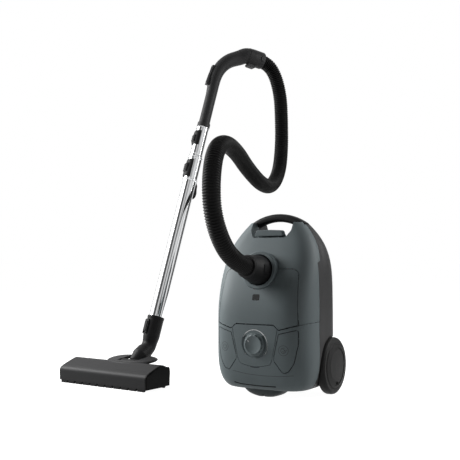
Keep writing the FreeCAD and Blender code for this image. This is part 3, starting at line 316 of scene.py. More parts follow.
class Link:
    """One output socket of a shader graph, with arithmetic on it."""

    def __init__(self, graph: "Graph", socket: bpy.types.NodeSocket) -> None:
        """Holds the socket and the graph that it belongs to."""
        self.graph = graph
        self.socket = socket

    def _math(self, operation: str, first: Input, second: Input) -> "Link":
        """Adds one Math node.

        Args:
            operation: The node's operation.
            first: Its first value.
            second: Its second value.

        Returns:
            The node's output.
        """
        return self.graph.node("ShaderNodeMath", {"operation": operation},
                               {0: first, 1: second})

    def __add__(self, other: Input) -> "Link":
        """Returns self + other."""
        return self._math("ADD", self, other)

    def __radd__(self, other: Input) -> "Link":
        """Returns other + self."""
        return self._math("ADD", other, self)

    def __sub__(self, other: Input) -> "Link":
        """Returns self - other."""
        return self._math("SUBTRACT", self, other)

    def __rsub__(self, other: Input) -> "Link":
        """Returns other - self."""
        return self._math("SUBTRACT", other, self)

    def __mul__(self, other: Input) -> "Link":
        """Returns self * other."""
        return self._math("MULTIPLY", self, other)

    def __rmul__(self, other: Input) -> "Link":
        """Returns other * self."""
        return self._math("MULTIPLY", other, self)

    def or_more(self, other: "Link") -> "Link":
        """Returns the larger of the two."""
        return self._math("MAXIMUM", self, other)

    def above(self, level: float, softness: float) -> "Link":
        """Returns 1 where the value is above the level and 0 below, with a soft step."""
        return self.graph.node("ShaderNodeMapRange", {"interpolation_type": "SMOOTHSTEP"},
                               {0: self, 1: level - softness, 2: level + softness})


class Graph:
    """The node tree of one material or of the world."""

    def __init__(self, owner: bpy.types.Material | bpy.types.World) -> None:
        """Starts with an empty node tree.

        Args:
            owner: The material or world that the tree belongs to.
        """
        owner.use_nodes = True
        self.owner = owner
        self.tree = owner.node_tree
        self.tree.nodes.clear()

    def _made(self, kind: str, settings: dict, inputs: dict[int | str, Input]
              ) -> bpy.types.Node:
        """Adds any node.

        Args:
            kind: The node's type.
            settings: Its properties.
            inputs: Values or links of its sockets, by number or name.

        Returns:
            The node.
        """
        made = self.tree.nodes.new(kind)
        for key, value in settings.items():
            setattr(made, key, value)
        for key, value in inputs.items():
            if isinstance(value, Link):
                self.tree.links.new(value.socket, made.inputs[key])
            else:
                made.inputs[key].default_value = value
        return made

    def node(self, kind: str, settings: dict | None = None,
             inputs: dict[int | str, Input] | None = None, output: int | str = 0) -> Link:
        """Adds a node and picks one of its outputs.

        Args:
            kind: The node's type.
            settings: Its properties.
            inputs: Values or links of its sockets, by number or name.
            output: The socket that is wanted.

        Returns:
            The wanted output.
        """
        return Link(self, self._made(kind, settings or {}, inputs or {}).outputs[output])

    def place(self, size: float, stretch: Point = (1, 1, 1), turn: Point = (0, 0, 0)) -> Link:
        """Object coordinates, scaled so that one unit is one feature.

        Args:
            size: The feature's size, in metres.
            stretch: Extra scale along each axis.
            turn: Rotation of the coordinates, in radians.

        Returns:
            The coordinates.
        """
        where = self.node("ShaderNodeTexCoord", output="Object")
        turned_to = self.node("ShaderNodeMapping", {}, {"Vector": where, "Rotation": turn})
        scale = tuple(k / size for k in stretch)
        return self.node("ShaderNodeVectorMath", {"operation": "MULTIPLY"},
                         {0: turned_to, 1: scale})

    def noise(self, size: float, detail: float = 3.0, rough: float = 0.5,
              stretch: Point = (1, 1, 1), turn: Point = (0, 0, 0)) -> Link:
        """Noise from 0 to 1.

        Args:
            size: Size of its features, in metres.
            detail: Octaves.
            rough: Weight of the finer octaves.
            stretch: Extra scale along each axis.
            turn: Rotation of the pattern, in radians.

        Returns:
            The noise.
        """
        return self.node("ShaderNodeTexNoise", {}, {
            "Vector": self.place(size, stretch, turn), "Scale": 1.0, "Detail": detail,
            "Roughness": rough})

    def mix(self, factor: Input, low: Input, high: Input) -> Link:
        """Mixes two colours.

        Args:
            factor: 0 gives low and 1 gives high.
            low: First colour.
            high: Second colour.

        Returns:
            The mixed colour.
        """
        def rgba(value: Input) -> Input:
            """Adds the alpha that a colour socket wants."""
            return value if isinstance(value, Link) else (*value, 1.0)

        return self.node("ShaderNodeMix", {"data_type": "RGBA"},
                         {0: factor, 6: rgba(low), 7: rgba(high)}, output=2)

    def bump(self, height: Link, distance: float, strength: float = 1.0) -> Link:
        """A bump from a height.

        Args:
            height: The height, from 0 to 1.
            distance: What 1 means, in metres.
            strength: Share of the bump that is used.

        Returns:
            The normal.
        """
        return self.node("ShaderNodeBump", {}, {
            "Height": height, "Distance": distance, "Strength": strength})

    def surface(self, **sockets: Input) -> bpy.types.Material:
        """Adds the shader and the output.

        Args:
            sockets: Values or links by socket name, with _ for each space.

        Returns:
            The material.
        """
        named = {key.replace("_", " "): (*value, 1.0) if isinstance(value, tuple) else value
                 for key, value in sockets.items()}
        shader = self.node("ShaderNodeBsdfPrincipled", {}, named)
        return self.shown(shader)

    def shown(self, shader: Link) -> bpy.types.Material | bpy.types.World:
        """Links a shader to the output.

        Args:
            shader: The finished shader.

        Returns:
            The material or world that the graph belongs to.
        """
        kind = "World" if isinstance(self.owner, bpy.types.World) else "Material"
        self._made(f"ShaderNodeOutput{kind}", {}, {"Surface": shader})
        return self.owner


# ---- finishes -------------------------------------------------------------------------------


def shade(colour: Colour, factor: float) -> Colour:
    """Returns a darker or lighter version of a colour."""
    return tuple(min(1.0, c * factor) for c in colour)


@dataclass(frozen=True)
class Finish:
    """A material that is made once and then shared."""

    name: str
    slot: str = ""

    def material(self) -> bpy.types.Material:
        """Returns the material, and makes it the first time."""
        found = bpy.data.materials.get(self.name)
        return found if found else self.made()

    def made(self) -> bpy.types.Material:
        """Builds the material from its nodes."""
        raise NotImplementedError


@dataclass(frozen=True)
class Moulding(Finish):
    """Injection-moulded plastic: spark-eroded grain, faint flow marks and handling wear."""

    colour: Colour = (0.1, 0.1, 0.1)
    gloss: float = 0.6
    grain: float = 0.0009
    depth: float = 0.00006
    specular: float = 0.3

    def made(self) -> bpy.types.Material:
        """Builds the nodes.

        Returns:
            The material.
        """
        graph = Graph(bpy.data.materials.new(self.name))
        flow = graph.noise(0.06, 2.0)
        grain = graph.noise(self.grain, 2.0, 0.6)
        scuffs = graph.noise(0.012, 4.0, 0.65, (1.0, 1.0, 0.35)).above(0.66, 0.08)
        colour = graph.mix(flow, shade(self.colour, 0.93), shade(self.colour, 1.07))
        colour = graph.mix(scuffs * 0.10, colour, shade(self.colour, 1.5))
        rough = 1.0 - self.gloss + (grain - 0.5) * 0.10 + scuffs * 0.06
        return graph.surface(Base_Color=colour, Roughness=rough, Specular_IOR_Level=self.specular,
                             Normal=graph.bump(grain, self.depth, 0.6))


@dataclass(frozen=True)
class Rubber(Finish):
    """Soft rubber or vinyl: matt, with a dusty bloom in patches."""

    colour: Colour = (0.02, 0.02, 0.02)
    rough: float = 0.5
    specular: float = 0.25

    def made(self) -> bpy.types.Material:
        """Builds the nodes.

        Returns:
            The material.
        """
        graph = Graph(bpy.data.materials.new(self.name))
        bloom = graph.noise(0.02, 4.0, 0.6).above(0.55, 0.15)
        pores = graph.noise(0.0007, 2.0)
        colour = graph.mix(bloom * 0.35, self.colour, shade(self.colour, 1.7))
        rough = self.rough + bloom * 0.08 + (pores - 0.5) * 0.08
        return graph.surface(Base_Color=colour, Roughness=rough, Specular_IOR_Level=self.specular,
                             Normal=graph.bump(pores, 0.00005, 0.5))


@dataclass(frozen=True)
class Metal(Finish):
    """Bare or plated metal with fine lines along its Z axis after a turn."""

    colour: Colour = (0.8, 0.8, 0.8)
    rough: float = 0.1
    lines: float = 0.03
    turn: Point = (0.0, 0.0, 0.0)

    def made(self) -> bpy.types.Material:
        """Builds the nodes.

        Returns:
            The material.
        """
        graph = Graph(bpy.data.materials.new(self.name))
        drawn = graph.noise(0.0006, 2.0, 0.6, (1.0, 1.0, 0.01), self.turn)
        smudge = graph.noise(0.03, 3.0).above(0.6, 0.15)
        rough = self.rough + (drawn - 0.5) * self.lines * 2 + smudge * self.lines
        colour = graph.mix(smudge * 0.3, self.colour, shade(self.colour, 0.9))
        return graph.surface(Base_Color=colour, Metallic=1.0, Roughness=rough,
                             Normal=graph.bump(drawn, 0.00001, 0.25))


@dataclass(frozen=True)
class Fleece(Finish):
    """Non-woven filter cloth, felt or foam: crossing fibres or open cells."""

    colour: Colour = (0.7, 0.7, 0.66)
    fibre: float = 0.0012
    depth: float = 0.0004

    def made(self) -> bpy.types.Material:
        """Builds the nodes.

        Returns:
            The material.
        """
        graph = Graph(bpy.data.materials.new(self.name))
        one = graph.noise(self.fibre, 3.0, 0.6, (1.0, 0.15, 0.3))
        two = graph.noise(self.fibre, 3.0, 0.6, (0.15, 1.0, 0.3), (0.3, 0.2, 0.9))
        fibres = (one + two) * 0.5
        clumps = graph.noise(self.fibre * 12, 3.0)
        colour = graph.mix(fibres, shade(self.colour, 0.8), shade(self.colour, 1.08))
        colour = graph.mix(clumps * 0.25, colour, shade(self.colour, 0.75))
        return graph.surface(Base_Color=colour, Roughness=0.92, Sheen_Weight=0.3,
                             Normal=graph.bump(fibres, self.depth, 0.7))


@dataclass(frozen=True)
class CircuitBoard(Finish):
    """Green solder mask over copper tracks."""

    colour: Colour = (0.02, 0.12, 0.04)

    def made(self) -> bpy.types.Material:
        """Builds the nodes.

        Returns:
            The material.
        """
        graph = Graph(bpy.data.materials.new(self.name))
        cells = graph.node("ShaderNodeTexVoronoi", {"distance": "CHEBYCHEV",
                           "feature": "DISTANCE_TO_EDGE"},
                           {"Vector": graph.place(0.006), "Scale": 1.0})
        tracks = cells.above(0.09, 0.02)
        colour = graph.mix(tracks, shade(self.colour, 2.4), self.colour)
        return graph.surface(Base_Color=colour, Roughness=0.35 + tracks * 0.1,
                             Normal=graph.bump(1.0 - tracks, 0.00005))


@dataclass(frozen=True)
class ClearLens(Finish):
    """Slightly smoked clear plastic."""

    colour: Colour = (0.03, 0.035, 0.035)

    def made(self) -> bpy.types.Material:
        """Builds the nodes.

        Returns:
            The material.
        """
        graph = Graph(bpy.data.materials.new(self.name))
        haze = graph.noise(0.004, 3.0)
        colour = graph.mix(haze, shade(self.colour, 0.9), shade(self.colour, 1.1))
        return graph.surface(Base_Color=colour, Roughness=0.06 + haze * 0.08,
                             Transmission_Weight=0.4, IOR=1.49)


# brings a pattern's Z onto the wand's axis
WAND_TURN = (math.radians(18.95), math.radians(-3.1), 0.0)
GREEN = Moulding("satin green shell", "green_shell", (0.130, 0.160, 0.168), 0.44, specular=0.34)
# painted shade: the foot is the shell's own green plastic, given this darker copy to stand for
# the shade it sits in
FOOT_SHADE_GREEN = Moulding("green with painted shade", "green_shell", (0.045, 0.058, 0.060), 0.5, specular=0.2)
KNOB_GREEN = Moulding("dial green", "knob", (0.125, 0.155, 0.162), 0.60, grain=0.0007)
DARK = Moulding("dark grey shell", "dark_shell", (0.050, 0.050, 0.051), 0.5,
                grain=0.0012, depth=0.00009, specular=0.16)
BLACK = Moulding("black plastic", "black_plastic", (0.011, 0.011, 0.0115), 0.5,
                 grain=0.0010, depth=0.00007, specular=0.14)
GRIP = Moulding("grip plastic", "black_plastic", (0.036, 0.036, 0.037), 0.5,
                grain=0.0010, depth=0.00006, specular=0.16)
CAP = Moulding("deep black", "black_plastic", (0.004, 0.004, 0.004), 0.5, specular=0.08)
HEAD = Moulding("floor head cover", "head_cover", (0.021, 0.021, 0.022), 0.48,
                grain=0.0010, depth=0.00006, specular=0.16)
SIGNAL = Moulding("signal red", "signal", (0.45, 0.03, 0.02), 0.5)
WHEEL = Moulding("wheel disc", "wheel_disc", (0.014, 0.014, 0.014), 0.4, specular=0.2)
MARKING = Moulding("white marking", "", (0.86, 0.88, 0.88), 0.5, depth=0.00002)
# painted shadow: near-black strips that stand for the shade inside shut-line gaps and recesses
PAINTED_GAP_SHADOW = Moulding("painted gap shadow", "", (0.012, 0.015, 0.016), 0.8, depth=0.00001, specular=0.05)
# dark print of the pedal signs; the same finish is also the painted shade line along the front
# crease
DARK_PRINT_AND_CREASE_SHADE = Moulding("dark marking and crease shade", "", (0.045, 0.055, 0.057), 0.5, depth=0.00002)
HOSE = Rubber("hose vinyl", "hose_black", (0.004, 0.004, 0.004), 0.42, specular=0.1)
TYRE = Rubber("tyre rubber", "tyre_rubber", (0.020, 0.020, 0.020), 0.5, specular=0.12)
SEAL = Rubber("seal rubber", "seal", (0.03, 0.03, 0.03), 0.6)
CHROME = Metal("chromed tube", "chrome_tube", (0.86, 0.87, 0.88), 0.05, lines=0.02,
               turn=WAND_TURN)
STEEL = Metal("axle steel", "steel", (0.55, 0.55, 0.56), 0.28, lines=0.06)
MOTOR_STEEL = Metal("motor steel", "motor_steel", (0.5, 0.51, 0.52), 0.35, lines=0.08)
FAN = Metal("fan aluminium", "fan_metal", (0.68, 0.69, 0.70), 0.3, lines=0.06)
PAPER = Fleece("filter paper", "paper", (0.68, 0.65, 0.58))
FOAM = Fleece("motor filter foam", "foam", (0.5, 0.52, 0.52), fibre=0.002, depth=0.0006)
BRISTLE = Fleece("brush bristle", "bristle", (0.03, 0.03, 0.03), fibre=0.0006)
BOARD = CircuitBoard("circuit board", "board")
LENS = ClearLens("indicator lens", "lens")


# ---- studio ---------------------------------------------------------------------------------


@dataclass
class Studio:
    """Camera, floor, backdrop light and lamps."""

    eye: Point = (0.8293, -1.5362, 0.2976)
    aim: Point = (-0.5147, 0.8566, 0.0349)
    focal_length: float = 62.6
    floor_size: float = 60.0
    ambient: float = 0.05
    white: float = 1.0
    wand: tuple[float, float] = (-0.33, 0.12)
    lamps: tuple[tuple[str, Point, Point, tuple[float, float], float], ...] = (
        ("key soft box", (-2.3, -1.0, 1.5), (-0.05, 0.0, 0.25), (1.0, 1.6), 42.0),
        ("near key", (-1.15, -0.2, 0.8), (-0.02, 0.0, 0.28), (0.5, 0.7), 13.0),
        ("rim strip", (0.9, 0.75, 0.95), (0.0, 0.1, 0.32), (0.3, 0.9), 12.0))
    card_heights: tuple[float, float] = (0.02, 5.0)
    near_card: float = 1.3
    far_card: float = 3.2
    near_cards_from: float = 20.0
    cards: tuple[Point, ...] = ((-124.0, -109.0, 0.62), (-109.0, -88.0, 0.015),
                                (-88.0, -73.0, 0.26), (-73.0, -57.0, 0.70),
                                (-57.0, -42.0, 0.28), (-42.0, -25.0, 0.62),
                                (-25.0, -9.0, 0.80), (-9.0, 8.0, 0.60), (23.0, 43.0, 0.30),
                                (43.0, 70.0, 0.05), (152.0, 172.0, 0.35))

    def camera(self) -> None:
        """Sets up the camera."""
        data = bpy.data.cameras.new("camera")
        data.lens = self.focal_length
        data.sensor_width = 36.0
        data.clip_start, data.clip_end = 0.05, 60.0
        rig = linked("camera", data)
        rig.location = self.eye
        rig.rotation_mode = "QUATERNION"
        rig.rotation_quaternion = Vector(self.aim).to_track_quat("-Z", "Y")
        bpy.context.scene.camera = rig

    def lamp(self, name: str, at: Point, towards: Point, size: tuple[float, float],
             power: float) -> None:
        """Adds one soft box.

        Args:
            name: Its name.
            at: Its place, in metres.
            towards: What it faces.
            size: Width and height, in metres.
            power: In watts.
        """
        data = bpy.data.lights.new(name, "AREA")
        data.shape = "RECTANGLE"
        data.size, data.size_y = size
        data.energy = power
        rig = linked(name, data)
        rig.location = at
        rig.rotation_mode = "QUATERNION"
        rig.rotation_quaternion = (Vector(towards) - Vector(at)).to_track_quat("-Z", "Y")

    @staticmethod
    def seen(graph: Graph) -> Link:
        """Finds the rays that see the backdrop itself: camera, glossy and transmission.

        Args:
            graph: The graph that asks.

        Returns:
            A value that is 1 for those rays.
        """
        camera, glossy, through = (
            graph.node("ShaderNodeLightPath", output=f"Is {kind} Ray")
            for kind in ("Camera", "Glossy", "Transmission"))
        return camera.or_more(glossy).or_more(through)

    def world(self) -> None:
        """A dim surround for the object's own light, and white where it is seen."""
        world = bpy.data.worlds.new("studio")
        bpy.context.scene.world = world
        graph = Graph(world)
        strength = graph.node("ShaderNodeMapRange", {}, {
            "Value": self.seen(graph), "To Min": self.ambient, "To Max": self.white})
        graph.shown(graph.node("ShaderNodeBackground", {}, {
            "Color": (1.0, 1.0, 1.0, 1.0), "Strength": strength}))

    @staticmethod
    def sheet(name: str, corners: Sequence[Point], material: bpy.types.Material
              ) -> bpy.types.Object:
        """One flat face of the studio.

        Args:
            name: Its name.
            corners: Its four corners, in metres.
            material: Its material.

        Returns:
            The object.
        """
        mesh = bpy.data.meshes.new(name)
        mesh.from_pydata(corners, [], [(0, 1, 2, 3)])
        mesh.materials.append(material)
        face = linked(name, mesh)
        return face

    def floor(self) -> None:
        """A pale floor that keeps the object's shadow and is white where it is lit."""
        half = self.floor_size
        graph = Graph(bpy.data.materials.new("studio floor"))
        paint = graph.node("ShaderNodeBsdfDiffuse", {}, {"Color": (0.4, 0.4, 0.4, 1.0)})
        glow = graph.node("ShaderNodeEmission", {}, {"Color": (1, 1, 1, 1), "Strength": 0.98})
        both = graph.node("ShaderNodeAddShader", {}, {0: paint, 1: glow})
        finish = graph.shown(graph.node("ShaderNodeMixShader", {}, {
            0: self.seen(graph), 1: paint, 2: both}))
        self.sheet("floor", [(-half, -half, 0), (half, -half, 0), (half, half, 0),
                             (-half, half, 0)], finish)

    def card(self, name: str, towards: float, width: float, grey: float,
             distance: float) -> None:
        """A tall card that only shows in the reflections of polished surfaces.

        Args:
            name: Its name.
            towards: Its direction from the wand, in degrees from X.
            width: Its width, in degrees.
            grey: How light it is.
            distance: How far it stands from the wand.
        """
        edges = []
        for turn in (-width / 2, width / 2):
            angle = math.radians(towards + turn)
            edges.append((self.wand[0] + distance * math.cos(angle),
                          self.wand[1] + distance * math.sin(angle)))
        (x0, y0), (x1, y1) = edges
        low, high = self.card_heights
        graph = Graph(bpy.data.materials.new(name))
        glow = graph.shown(graph.node("ShaderNodeEmission", {}, {
            "Color": (grey, grey, grey, 1.0)}))
        card = self.sheet(name, [(x0, y0, low), (x1, y1, low), (x1, y1, high), (x0, y0, high)],
                          glow)
        card.visible_camera = False
        card.visible_diffuse = False
        card.visible_transmission = False
        card.visible_shadow = False

    def build(self) -> None:
        """Sets everything up."""
        self.camera()
        self.world()
        self.floor()
        for lamp in self.lamps:
            self.lamp(*lamp)
        for start, end, grey in self.cards:
            self.card(f"card {start:.0f}", (start + end) / 2, end - start, grey,
                      self.near_card if start > self.near_cards_from else self.far_card)
        bpy.context.scene.view_settings.view_transform = "Standard"


# ---- hose -----------------------------------------------------------------------------------


@dataclass
class Hose:
    """The corrugated suction hose, as a free cord between the cuff and the handle."""

    route: tuple[Point, ...] = (
        (0, -88.0, 279.8), (0, -124.0, 285.5), (0, -182.0, 318.0), (-2, -219.0, 380.0),
        (-8, -216.0, 452.0), (-20, -180.0, 518.0), (-50, -92.0, 543.0), (-84, 14.0, 536.0),
        (-112, 108.0, 511.0), (-134, 222.0, 480.0), (-160, 326.0, 485.0),
        (-182, 410.0, 534.0), (-189, 438.0, 608.0), (-190, 439.0, 684.0),
        (-193, 438.0, 752.0), (-203, 424.0, 810.0), (-217.5, 400.5, 838.3),
        (-236.0, 371.0, 845.5))
    radius: float = 19.0
    rib_pitch: float = 5.4
    rib_depth: float = 2.3
    facets: int = 40
    steps_per_rib: int = 7
    length: float = 1.30

    def centreline(self) -> list[Vector]:
        """Draws the route's smooth spline.

        Returns:
            Its points, in metres.
        """
        data = bpy.data.curves.new("hose line", "CURVE")
        data.dimensions = "3D"
        spline = data.splines.new("NURBS")
        spline.points.add(len(self.route) - 1)
        for point, place in zip(spline.points, self.route):
            point.co = (*(c * MM for c in place), 1.0)
        spline.order_u = 3
        spline.use_endpoint_u = True
        spline.resolution_u = 24
        line = bpy.data.objects.new("hose line", data)
        mesh = bpy.data.meshes.new_from_object(line)
        points = [v.co.copy() for v in mesh.vertices]
        bpy.data.objects.remove(line)
        bpy.data.meshes.remove(mesh)
        bpy.data.curves.remove(data)
        return points

    def build(self) -> None:
        """Makes the ribbed tube round the centreline."""
        line = self.centreline()
        marks = [0.0]
        for a, b in zip(line, line[1:]):
            marks.append(marks[-1] + (b - a).length)
        total = marks[-1]
        step = self.rib_pitch * MM / self.steps_per_rib
        count = round(total / step)
        rings: list[list[Vector]] = []
        side = Vector((1, 0, 0))
        at = 0
        for i in range(count + 1):
            s = total * i / count
            while at < len(marks) - 2 and marks[at + 1] < s:
                at += 1
            share = (s - marks[at]) / (marks[at + 1] - marks[at])
            centre = line[at].lerp(line[at + 1], share)
            low, high = max(at - 1, 0), min(at + 2, len(line) - 1)
            along = (line[high] - line[low]).normalized()
            side = (side - along * side.dot(along)).normalized()
            up = along.cross(side)
            phase = s / (self.rib_pitch * MM)
            crest = 0.5 + 0.5 * math.cos(2 * math.pi * phase)
            radius = self.radius - self.rib_depth * (1.0 - crest ** 0.6)
            rings.append([(centre / MM) + (side * math.cos(a) + up * math.sin(a)) * radius
                          for a in around(self.facets)])
        piece = loft(rings).piece("suction_hose", "canister", HOSE, "hose", crease=60.0)


# ---- wand -----------------------------------------------------------------------------------


def boxed(low: Point, high: Point) -> Solid:
    """A plain block, the start of a cut or of a rounded pad.

    Args:
        low: Its lowest corner, in millimetres.
        high: Its highest corner.

    Returns:
        The block.
    """
    (x0, y0, z0), (x1, y1, z1) = low, high
    rings = [[Vector((x0, y0, z)), Vector((x1, y0, z)), Vector((x1, y1, z)),
              Vector((x0, y1, z))] for z in (z0, z1)]
    return loft(rings).facing_out()


@dataclass(frozen=True)
class Pad:
    """A thumb button or its guard, which wraps part of a tube.

    Radii are above the tube's, and stations above the foot of the sleeve that carries it.
    """

    name: str
    body: str
    half_angle: float
    inner: float
    outer: float
    low: float
    high: float
    crown: Callable[[float], float]
    nodes: tuple[str, ...] = ()


@dataclass
class Wand:
    """The two chromed tubes with their sleeves, rings, guards and buttons."""

    elbow: Point = (-351.877, 50.214, 95.054)
    axis: Point = (0.054279, 0.324356, 0.944376)
    across: Point = (0.997564, -0.069756, 0.0)
    button_turn: float = 155.0
    lower_radius: float = 17.5
    upper_radius: float = 16.0
    wall: float = 1.0
    foot: float = 12.0
    lock: tuple[float, float] = (424.0, 492.0)
    sleeve: tuple[float, float] = (494.0, 578.0)
    inserted: float = 310.0
    lock_overhang: float = 6.0
    sleeve_wall: float = 0.8
    lock_wall: float = 1.4
    seat: float = 0.05
    slide_play: float = 0.3

    def at(self, station: float, turn: float = 0.0) -> Matrix:
        """A frame on the wand's axis.

        Args:
            station: Distance above the elbow.
            turn: Turn about the axis, in degrees.

        Returns:
            The frame, with Z up the wand.
        """
        axis = Vector(self.axis)
        place = frame_at(Vector(self.elbow) + axis * station, axis, Vector(self.across))
        return place @ Matrix.Rotation(math.radians(turn), 4, "Z")

    def tube(self, radius: float, low: float, high: float) -> Solid:
        """A thin tube with softened ends.

        Args:
            radius: Outer radius.
            low: Station of its foot.
            high: Station of its top.

        Returns:
            The tube.
        """
        bore, edge = radius - self.wall, 0.35
        return turned([(bore, low), (radius - edge, low), (radius, low + edge),
                       (radius, high - edge), (radius - edge, high), (bore, high)],
                      self.at(0.0), 128)

    def ring(self, radius: float, low: float, high: float, bead: float) -> list:
        """Profile corners of a rolled bead round a sleeve.

        Args:
            radius: The sleeve's radius.
            low: Station of the bead's foot.
            high: Station of its top.
            bead: How far it stands out.

        Returns:
            Corners, from foot to top.
        """
        corners = []
        for i in range(9):
            angle = math.pi * i / 8
            corners.append((radius + bead * math.sin(angle),
                            low + (high - low) * (0.5 - 0.5 * math.cos(angle))))
        return corners

    def pad(self, pad: Pad, radius: float, foot: float) -> None:
        """Makes one thumb pad.

        Args:
            pad: Its sizes and its crown.
            radius: Radius of the tube that it lies on.
            foot: Station that its own stations count from.
        """
        inner, outer = radius + pad.inner, radius + pad.outer
        low, high = foot + pad.low, foot + pad.high
        rings = []
        steps, facets = 36, 14
        for i in range(steps + 1):
            share = i / steps
            height = low + (high - low) * share
            crown = inner + (outer - inner) * pad.crown(share)
            ring = []
            for j in range(facets + 1):
                angle = math.radians(90.0 + pad.half_angle * (1 - 2 * j / facets))
                fall = 1.0 - abs(1 - 2 * j / facets) ** 4 * 0.6
                r = inner + (crown - inner) * fall
                ring.append(Vector((r * math.cos(angle), r * math.sin(angle), height)))
            for j in range(facets, -1, -1):
                angle = math.radians(90.0 + pad.half_angle * (1 - 2 * j / facets))
                ring.append(Vector(((inner - 0.4) * math.cos(angle),
                                    (inner - 0.4) * math.sin(angle), height)))
            rings.append(ring)
        solid = loft(rings).facing_out().moved(self.at(0.0, self.button_turn))
        solid.piece(pad.name, pad.body, BLACK, *pad.nodes)

    def sleeved(self, name: str, body: str, node: str,
                profile: Sequence[tuple[float, float]]) -> None:
        """Makes one chromed sleeve.

        Args:
            name: The piece's name.
            body: The body it rides on.
            node: The frame's node that it stands for.
            profile: Radius and station of each corner.
        """
        turned(profile, self.at(0.0), 128).piece(name, body, CHROME, node)

    def build(self) -> None:
        """Makes the tubes, sleeves and buttons."""
        low, high = self.lock
        start, end = self.sleeve
        big, small = self.lower_radius, self.upper_radius
        self.tube(small, start - self.inserted, end).piece(
            "upper_tube_chrome", "handle", CHROME, "upper_tube")
        self.tube(big, self.foot, high - self.lock_overhang).piece(
            "lower_tube_chrome", "lower_wand", CHROME, "lower_tube")
        r = small + self.sleeve_wall
        self.sleeved("handle_sleeve", "handle", "upper_sleeve", [
            (small + self.seat, start), *self.ring(r, start, start + 6, 1.0),
            *self.ring(r, end - 5, end, 0.8), (small + self.seat, end)])
        r = big + self.lock_wall
        self.sleeved("lock_sleeve", "lower_wand", "lock_housing", [
            (big + self.seat, low), *self.ring(r, low, low + 5, 1.4),
            *self.ring(r, high - 6, high, 1.2), (small + self.slide_play, high),
            (small + self.slide_play, high - 5), (big + self.seat, high - 5)])
        self.pad(Pad("handle_button_guard", "handle", 62.0, 0.6, 4.0, 30.0, 72.0,
                     lambda t: min(1.0, 8 * t, 6 * (1 - t)) ** 0.5), small, start)
        self.pad(Pad("handle_button", "wand_button", 24.0, 3.0, 7.2, 36.0, 58.0,
                     self.ridged(4), ("wand_button",)), small, start)
        self.pad(Pad("lock_guard", "lower_wand", 58.0, 1.2, 4.6, 8.0, 58.0,
                     lambda t: (0.45 + 0.55 * (1 - t))
                     * min(1.0, 10 * t, 12 * (1 - t)) ** 0.5), big, low)
        self.pad(Pad("lock_button", "lock_slider", 26.0, 3.0, 7.4, 20.0, 46.0,
                     self.ridged(5), ("lock_slider",)), big, low)
        self.hook()

    @staticmethod
    def ridged(count: int) -> Callable[[float], float]:
        """A crown with finger ridges.

        Args:
            count: How many ridges.

        Returns:
            Height of the crown from the share of the length.
        """
        def height(share: float) -> float:
            """Height at one place along the button.

            Args:
                share: Share of the button's length, 0 to 1.

            Returns:
                The crown's height, 0 to 1.
            """
            body = min(1.0, 9 * share, 9 * (1 - share)) ** 0.5
            ridge = 0.5 + 0.5 * math.cos(2 * math.pi * count * share)
            return body * (0.72 + 0.28 * ridge)
        return height

    def hook(self) -> None:
        """The parking hook behind the lower tube's top."""
        low = self.lock[0] - 42.0
        outline = [(0.0, 0.0), (4.0, 0.0), (7.5, 6.0), (8.5, 16.0), (6.5, 26.0), (5.5, 36.0),
                   (2.5, 41.0), (0.0, 41.0)]
        rings = []
        for x in (-7.0, -5.5, 5.5, 7.0):
            trim = 0.8 if abs(x) > 6 else 0.0
            rings.append([Vector((x, self.lower_radius - 1.5 + max(0.0, r - trim), low + z))
                          for r, z in outline])
        hook = loft(rings).facing_out().moved(self.at(0.0, self.button_turn + 180.0))
        hook.piece("parking_hook", "lower_wand", BLACK)


# ---- soft parts -----------------------------------------------------------------------------


